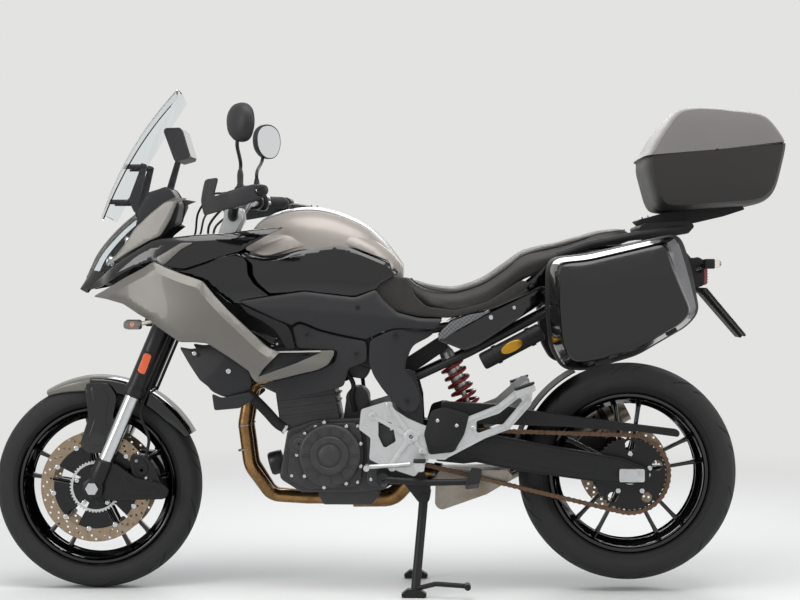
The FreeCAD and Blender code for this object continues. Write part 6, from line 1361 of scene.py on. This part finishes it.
# Points along the seat as (behind, half width, top, bottom). Each cross section is the crown, scaled to
# the half width and raised from bottom to top, over a flat foot.
seat = smooth_line([(905, 60, 913, 853), (925, 88, 898, 826), (960, 114, 884, 810), (1000, 128, 877, 803),
                    (1040, 137, 876, 801), (1085, 143, 888, 808), (1130, 146, 908, 824), (1180, 145, 942, 858),
                    (1230, 140, 977, 897), (1280, 135, 993, 918), (1330, 130, 1003, 937), (1390, 124, 1019, 958),
                    (1450, 118, 1036, 981), (1500, 110, 1042, 996), (1540, 92, 1040, 1010)], 120)
crown = smooth_line([(0, 1.0), (0.3, 0.99), (0.55, 0.955), (0.75, 0.87), (0.88, 0.76), (0.975, 0.56), (1.0, 0.36),
                     (0.97, 0.16), (0.93, 0.02)], 40)
flat_foot = np.stack([np.linspace(0.90, 0, 12), np.zeros(12)], -1)
half_ring = np.concatenate([crown, flat_foot])
ring = np.concatenate([half_ring, half_ring[-2:0:-1] * (-1, 1)])
behind, half, top, bottom = (seat[:, column][:, None] for column in range(4))
rings = np.stack([np.broadcast_to(behind, (len(seat), len(ring))), half * ring[:, 0],
                  bottom + (top - bottom) * ring[:, 1]], -1)
seat_pad = add_piece("seat_pad", [lofted(rings)], [seat_vinyl], "chassis", ["seat"], crease=180)


def filled_out(piece, cap, voxel=0.006, frames=14):
    """Remesh a pad evenly and let pressure swell it as cloth, each point moving no further than the cap."""
    remesh = piece.modifiers.new("remesh", "REMESH")
    remesh.mode = "VOXEL"
    remesh.voxel_size = voxel
    cloth = piece.modifiers.new("cloth", "CLOTH")
    cloth.settings.use_pressure = True
    cloth.settings.uniform_pressure_force = 4
    cloth.settings.effector_weights.gravity = 0
    cloth.settings.quality = 4
    cloth.point_cache.frame_start = 1
    cloth.point_cache.frame_end = frames
    cloth.show_viewport = False
    view = bpy.context.evaluated_depsgraph_get()
    even = bpy.data.meshes.new_from_object(piece.evaluated_get(view))
    before = np.empty(3 * len(even.vertices))
    even.vertices.foreach_get("co", before)
    cloth.show_viewport = True
    for step in range(1, frames + 1):
        scene.frame_set(step)
    view = bpy.context.evaluated_depsgraph_get()
    swollen = piece.evaluated_get(view).to_mesh()
    after = np.empty(3 * len(swollen.vertices))
    swollen.vertices.foreach_get("co", after)
    piece.evaluated_get(view).to_mesh_clear()
    scene.frame_set(1)
    before, after = before.reshape(-1, 3), after.reshape(-1, 3)
    move = after - before
    far = np.linalg.norm(move, axis=1)[:, None]
    move *= np.minimum(1, cap / np.maximum(far, 1e-9))
    upper = before[:, 2] - np.interp(before[:, 0] * 1000 + AHEAD, seat[:, 0], seat[:, 3]) / 1000
    move *= np.clip(upper / 0.02, 0, 1)[:, None]
    even.vertices.foreach_set("co", (before + move).ravel())
    even.polygons.foreach_set("use_smooth", np.ones(len(even.polygons), bool))
    even.update()
    piece.modifiers.clear()
    piece.data = even


filled_out(seat_pad, 0.005)


def seam(line, lift):
    """A thin cord of vinyl that lies on the seat along a line of (behind, share of the half width)."""
    line = smooth_line(line, 90)
    half, top, bottom = (np.interp(line[:, 0], seat[:, 0], seat[:, column]) for column in (1, 2, 3))
    widening = crown[:28]
    rise = np.interp(np.abs(line[:, 1]), *widening.T)
    spots = np.stack([line[:, 0], half * line[:, 1], bottom + (top - bottom) * rise + lift], -1)
    return hose(spots, 2, 90, 8)


rise = 3.2
pipes = [seam([(912, -0.72), (960, -0.80), (1040, -0.83), (1130, -0.84), (1200, -0.84), (1232, -0.70), (1246, -0.35),
               (1250, 0)], rise),
         seam([(1214, -0.82), (1300, -0.82), (1400, -0.82), (1500, -0.80), (1526, -0.6), (1532, 0)], rise)]
add_piece("seat_seams", mirrored(pipes), [seat_vinyl], "chassis")
apron_base = ruled((780, [(800, -150), (900, -146), (1000, -144), (1100, -146)]),
                   (1000, [(800, -150), (900, -138), (1000, -140), (1100, -146)]))
apron = [(798, 884), (812, 862), (826, 832), (852, 812), (937, 794), (1023, 790), (1109, 808), (1194, 840),
         (1256, 886), (1230, 900), (1130, 836), (1040, 812), (960, 822), (925, 852), (905, 905), (888, 906),
         (862, 908), (828, 900)]
add_piece("seat_apron", mirrored([cover(apron, apron_base, 12, wall=6)]), [seat_vinyl], "chassis")


# Luggage rack
# Round grab rails beside the passenger's seat, and a dark carrier plate that is screwed down under the
# top case.

paint(matt_black, "rear_rack")
screws = bolts(-80, [(1590, 1080), (1800, 1104)], (0, 0, 1), 5, 3)
add_piece("rack_screws", mirrored(screws), [bright_steel], "chassis")


# Side cases
# Moulded cases: a matt inner shell, and a gloss black lid with a creased face and a grey band down its rear edge.

inner_line = np.array([(1290, 930), (1306, 962), (1400, 972), (1640, 1026), (1664, 1010), (1690, 930), (1712, 812),
                       (1680, 772), (1540, 690), (1400, 648), (1334, 652), (1300, 712), (1290, 820)], float)
outer_line = np.array([(1318, 930), (1334, 944), (1400, 950), (1600, 998), (1612, 990), (1630, 920), (1676, 812),
                       (1650, 780), (1530, 712), (1400, 676), (1350, 678), (1326, 730), (1318, 820)], float)
case_middle = np.array([1484, 838.0])


def case_ring(share, scale, side, inset=0.0):
    """The outline a share of the way from the inner to the outer face, scaled about its middle. Above
    a crest that rises to the rear, the outer face leans in by two fifths of the height, over a soft groove."""
    ring = rounded(inner_line * (1 - share) + outer_line * share, 24, 8)
    ring = shrunk(ring, inset) if inset else ring
    ring = case_middle + (ring - case_middle) * scale
    crest = np.interp(ring[:, 0], [1318, 1500, 1660], [868, 884, 916])
    lean = 0.4 * np.clip(ring[:, 1] - crest, 0, None) * np.clip((share - 0.75) / 0.25, 0, 1)
    lean += 5 * np.exp(-((ring[:, 1] - crest + 6) / 7) ** 2) * (share == 1) * np.clip((1 - scale) / 0.06, 0, 1)
    return np.stack([ring[:, 0], side + lean, ring[:, 1]], -1)


# Rings as (share, scale, side): the lid from the middle of its face, bulged like an ellipse, out to the
# split line and back along its inside, and then the base in the same way from its back.
face = [(1, scale, -428 - 6 * math.sqrt(1 - scale ** 2)) for scale in
        (0.02, 0.1, 0.2, 0.3, 0.4, 0.5, 0.58, 0.66, 0.74, 0.81, 0.87, 0.92, 0.955, 0.975)]
flanks = [(1, 0.99, -426), (0.99, 0.998, -421), (0.92, 1, -411), (0.8, 1, -398), (0.62, 1, -378), (0.45, 1, -359),
          (0.29, 1, -341), (0.262, 0.998, -338.6)]
outside = [case_ring(*place) for place in face + flanks]
inside_lid = [case_ring(share, scale, side, 3.5) for share, scale, side in
              ((0.262, 1, -338.6), (0.5, 1, -362), (0.8, 1, -396), (0.98, 0.99, -414), (1, 0.96, -419), (1, 0.8, -421),
               (1, 0.5, -422), (1, 0.25, -422), (1, 0.02, -422))]
lid = lofted(outside + inside_lid)
columns = outside[0].shape[0]
row, column = np.divmod(np.arange(len(lid[1]) - 2), columns)
band = (column >= 31) & (column < 56) & (row >= 16) & (row < 20)
case_trim = finish_of("case_trim", "#5d5d60", 0.42, metal=0.3, uneven=0.04)
back = [case_ring(0, scale, side) for scale, side in ((0.02, -246), (0.3, -246), (0.6, -246), (0.85, -246),
                                                      (0.94, -246.5), (0.98, -249), (1, -256), (1, -290), (1, -312))]
back += [case_ring(0.14, 1, -325), case_ring(0.245, 1, -336), case_ring(0.25, 0.998, -337.4)]
back += [case_ring(share, scale, side, 3.5) for share, scale, side in
         ((0.25, 1, -337.4), (0.1, 1, -320), (0, 1, -300), (0, 1, -258), (0, 0.97, -252), (0, 0.85, -250),
          (0, 0.5, -250), (0, 0.02, -250))]
latches = [casting([(1604, 762), (1614, 746), (1642, 760), (1632, 778)], -402, -352, 4, 1.5),
           casting([(1418, 676), (1424, 664), (1462, 678), (1456, 690)], -402, -352, 4, 1.5)]
case = [(*lid, [int(kind) for kind in band] + [0, 0]), lofted(back), *latches]
for name, flip in (("left", 1), ("right", -1)):
    lid, base, *latches = ((part[0] * (1, flip, 1), *part[1:]) for part in case)
    add_piece(f"{name}_case_lid_dressed", [lid], [gloss_black, case_trim], f"{name}_case_lid",
              [f"{name}_case_lid"], crease=30)
    add_piece(f"{name}_case_base_dressed", [base], [matt_black], "chassis", [f"{name}_case_base"],
              crease=30)
    add_piece(f"{name}_case_latches", latches, [satin_black], f"{name}_case_lid")


# Top case
# A moulded matt dark shell under a satin grey lid that meets it at a rising split line, with a lock at the rear.

case_grey = finish_of("case_grey", "#726f6d", 0.5, metal=0.1, uneven=0.04)
case_matt = finish_of("case_matt", "#262423", 0.5, grain=0.1, uneven=0.05)
top_middle = np.array([1773, 1264.5])
whole = rounded([(1571, 1240), (1608, 1104), (1640, 1092), (1907, 1112), (1946, 1146), (1974, 1262), (1976, 1290),
                 (1934, 1350), (1901, 1372), (1739, 1390), (1663, 1384), (1614, 1316)], 40, 10)
CASE_HALF = 214
near_end = np.array([208.5, 210.5, 212, 213, 213.6, CASE_HALF])
across = np.concatenate([-near_end[::-1], np.linspace(-206, 206, 35), near_end])[:, None]


def top_sheet(low, inset=0.0):
    """Half of the case as a sheet: its outline above or below the split line, from front to rear, swept
    from side to side and drawn in towards the split's middle near both sides, as a steep curve."""
    split = np.interp(whole[:, 0], [1571, 1976], [1247, 1282])
    if low:
        half = whole[whole[:, 1] < split - 2]
        half = half[np.argsort(np.arctan2(top_middle[1] - half[:, 1], half[:, 0] - top_middle[0]))[::-1]]
        ends = (1571.5, 1245.8), (1975.5, 1280.6)
    else:
        half = whole[whole[:, 1] > split + 2]
        half = half[np.argsort(np.arctan2(half[:, 1] - top_middle[1], half[:, 0] - top_middle[0]))[::-1]]
        ends = (1572, 1248.4), (1976, 1283.4)
    line = evenly(np.concatenate([[ends[0]], half, [ends[1]]]), 7, closed=False)
    line = top_middle + (line - top_middle) * (1 - inset / 150)
    reach = np.abs(across) / CASE_HALF
    scale = np.clip(1 - 0.11 * reach ** 7 - 0.87 * np.clip((reach - 0.965) / 0.035, 0, 1) ** 1.6, 0.02, 1)
    flat = top_middle + (line[None] - top_middle) * scale[..., None]
    side = np.broadcast_to(across * (1 - inset / CASE_HALF), flat.shape[:2])
    return np.stack([flat[..., 0], side, flat[..., 1]], -1)


lid, base = (shell(top_sheet(low), top_sheet(low, 4)) for low in (False, True))
add_piece("top_case_lid_dressed", [lid], [case_grey], "top_case_lid", ["top_case_lid"], crease=30)
add_piece("top_case_base_dressed", [base], [case_matt], "chassis", ["top_case_base"], crease=30)
lock = [tilted((1970, 1226), (1977.5, 1268), 46, 4, 8),
        spun((1974, 0, 1248), (1990, 0, 1245), [(7, 0), (7, 6), (6, 7), (0.01, 7)], 24)]
add_piece("top_case_lock", [(*lock[0], 0), (*lock[1], 1)], [satin_black, bright_steel], "chassis")


# Lamps and number plate
# A ribbed red tail light in a dark housing, clear turn signals with amber bulbs, the rear ones on short
# dark arms, and a blank plate on its moulded holder.

lamp_red = new_material("lamp_red", {"Base Color": srgb("#8c0d0b"), "Roughness": 0.12, "Coat Weight": 1.0})[0]
paint(lamp_red, "tail_light")
signal_glass = new_material("signal_glass", {"Base Color": (0.95, 0.9, 0.82, 1), "Roughness": 0.05,
                                             "Transmission Weight": 0.85, "IOR": 1.3})[0]
paint(signal_glass, "turn_signals")
paint(matt_black, "plate_holder")
plate_white = finish_of("plate_white", "#d8d8d4", 0.4, coat=0.4, uneven=0.05)
ribs = [casting([(1767, low), (1769.5, low + 2), (1767, low + 4), (1764, low + 2)], -54, 54, 0.5, 0.5)
        for low in range(890, 940, 8)]
add_piece("tail_light_ribs", ribs, [lamp_red], "chassis")
add_piece("number_plate", [tilted((1872, 740), (1758.5, 875.5), 106, 1.6, 6)], [plate_white], "chassis")
amber = new_material("amber", {"Base Color": srgb("#d8720f"), "Roughness": 0.2})[0]
bulbs = [turned([(0.01, -9), (5, -7), (7, 0), (5, 7), (0.01, 9)], spot, 20) for spot in
         ((128, -206, 772), (1770, -140, 944))]
sides = [casting([(1690, 952), (1738, 965), (1757, 955), (1757, 884), (1742, 877), (1690, 880)], -66, -62, 6, 1),
         casting([(1746, 930), (1774, 930), (1774, 958), (1746, 958)], -163.5, -117, 4, 1),
         hose([(1742, -60, 926), (1752, -92, 938), (1762, -120, 943)], 9, 20, 16)]
add_piece("tail_light_housing", mirrored(sides), [satin_black], "chassis")
add_piece("signal_bulbs", mirrored(bulbs), [amber], "chassis")
rim = casting([(104, 758), (152, 758), (152, 786), (104, 786)], -186, -182, 9, 1)
add_piece("signal_frames", mirrored([rim]), [satin_black], "chassis")
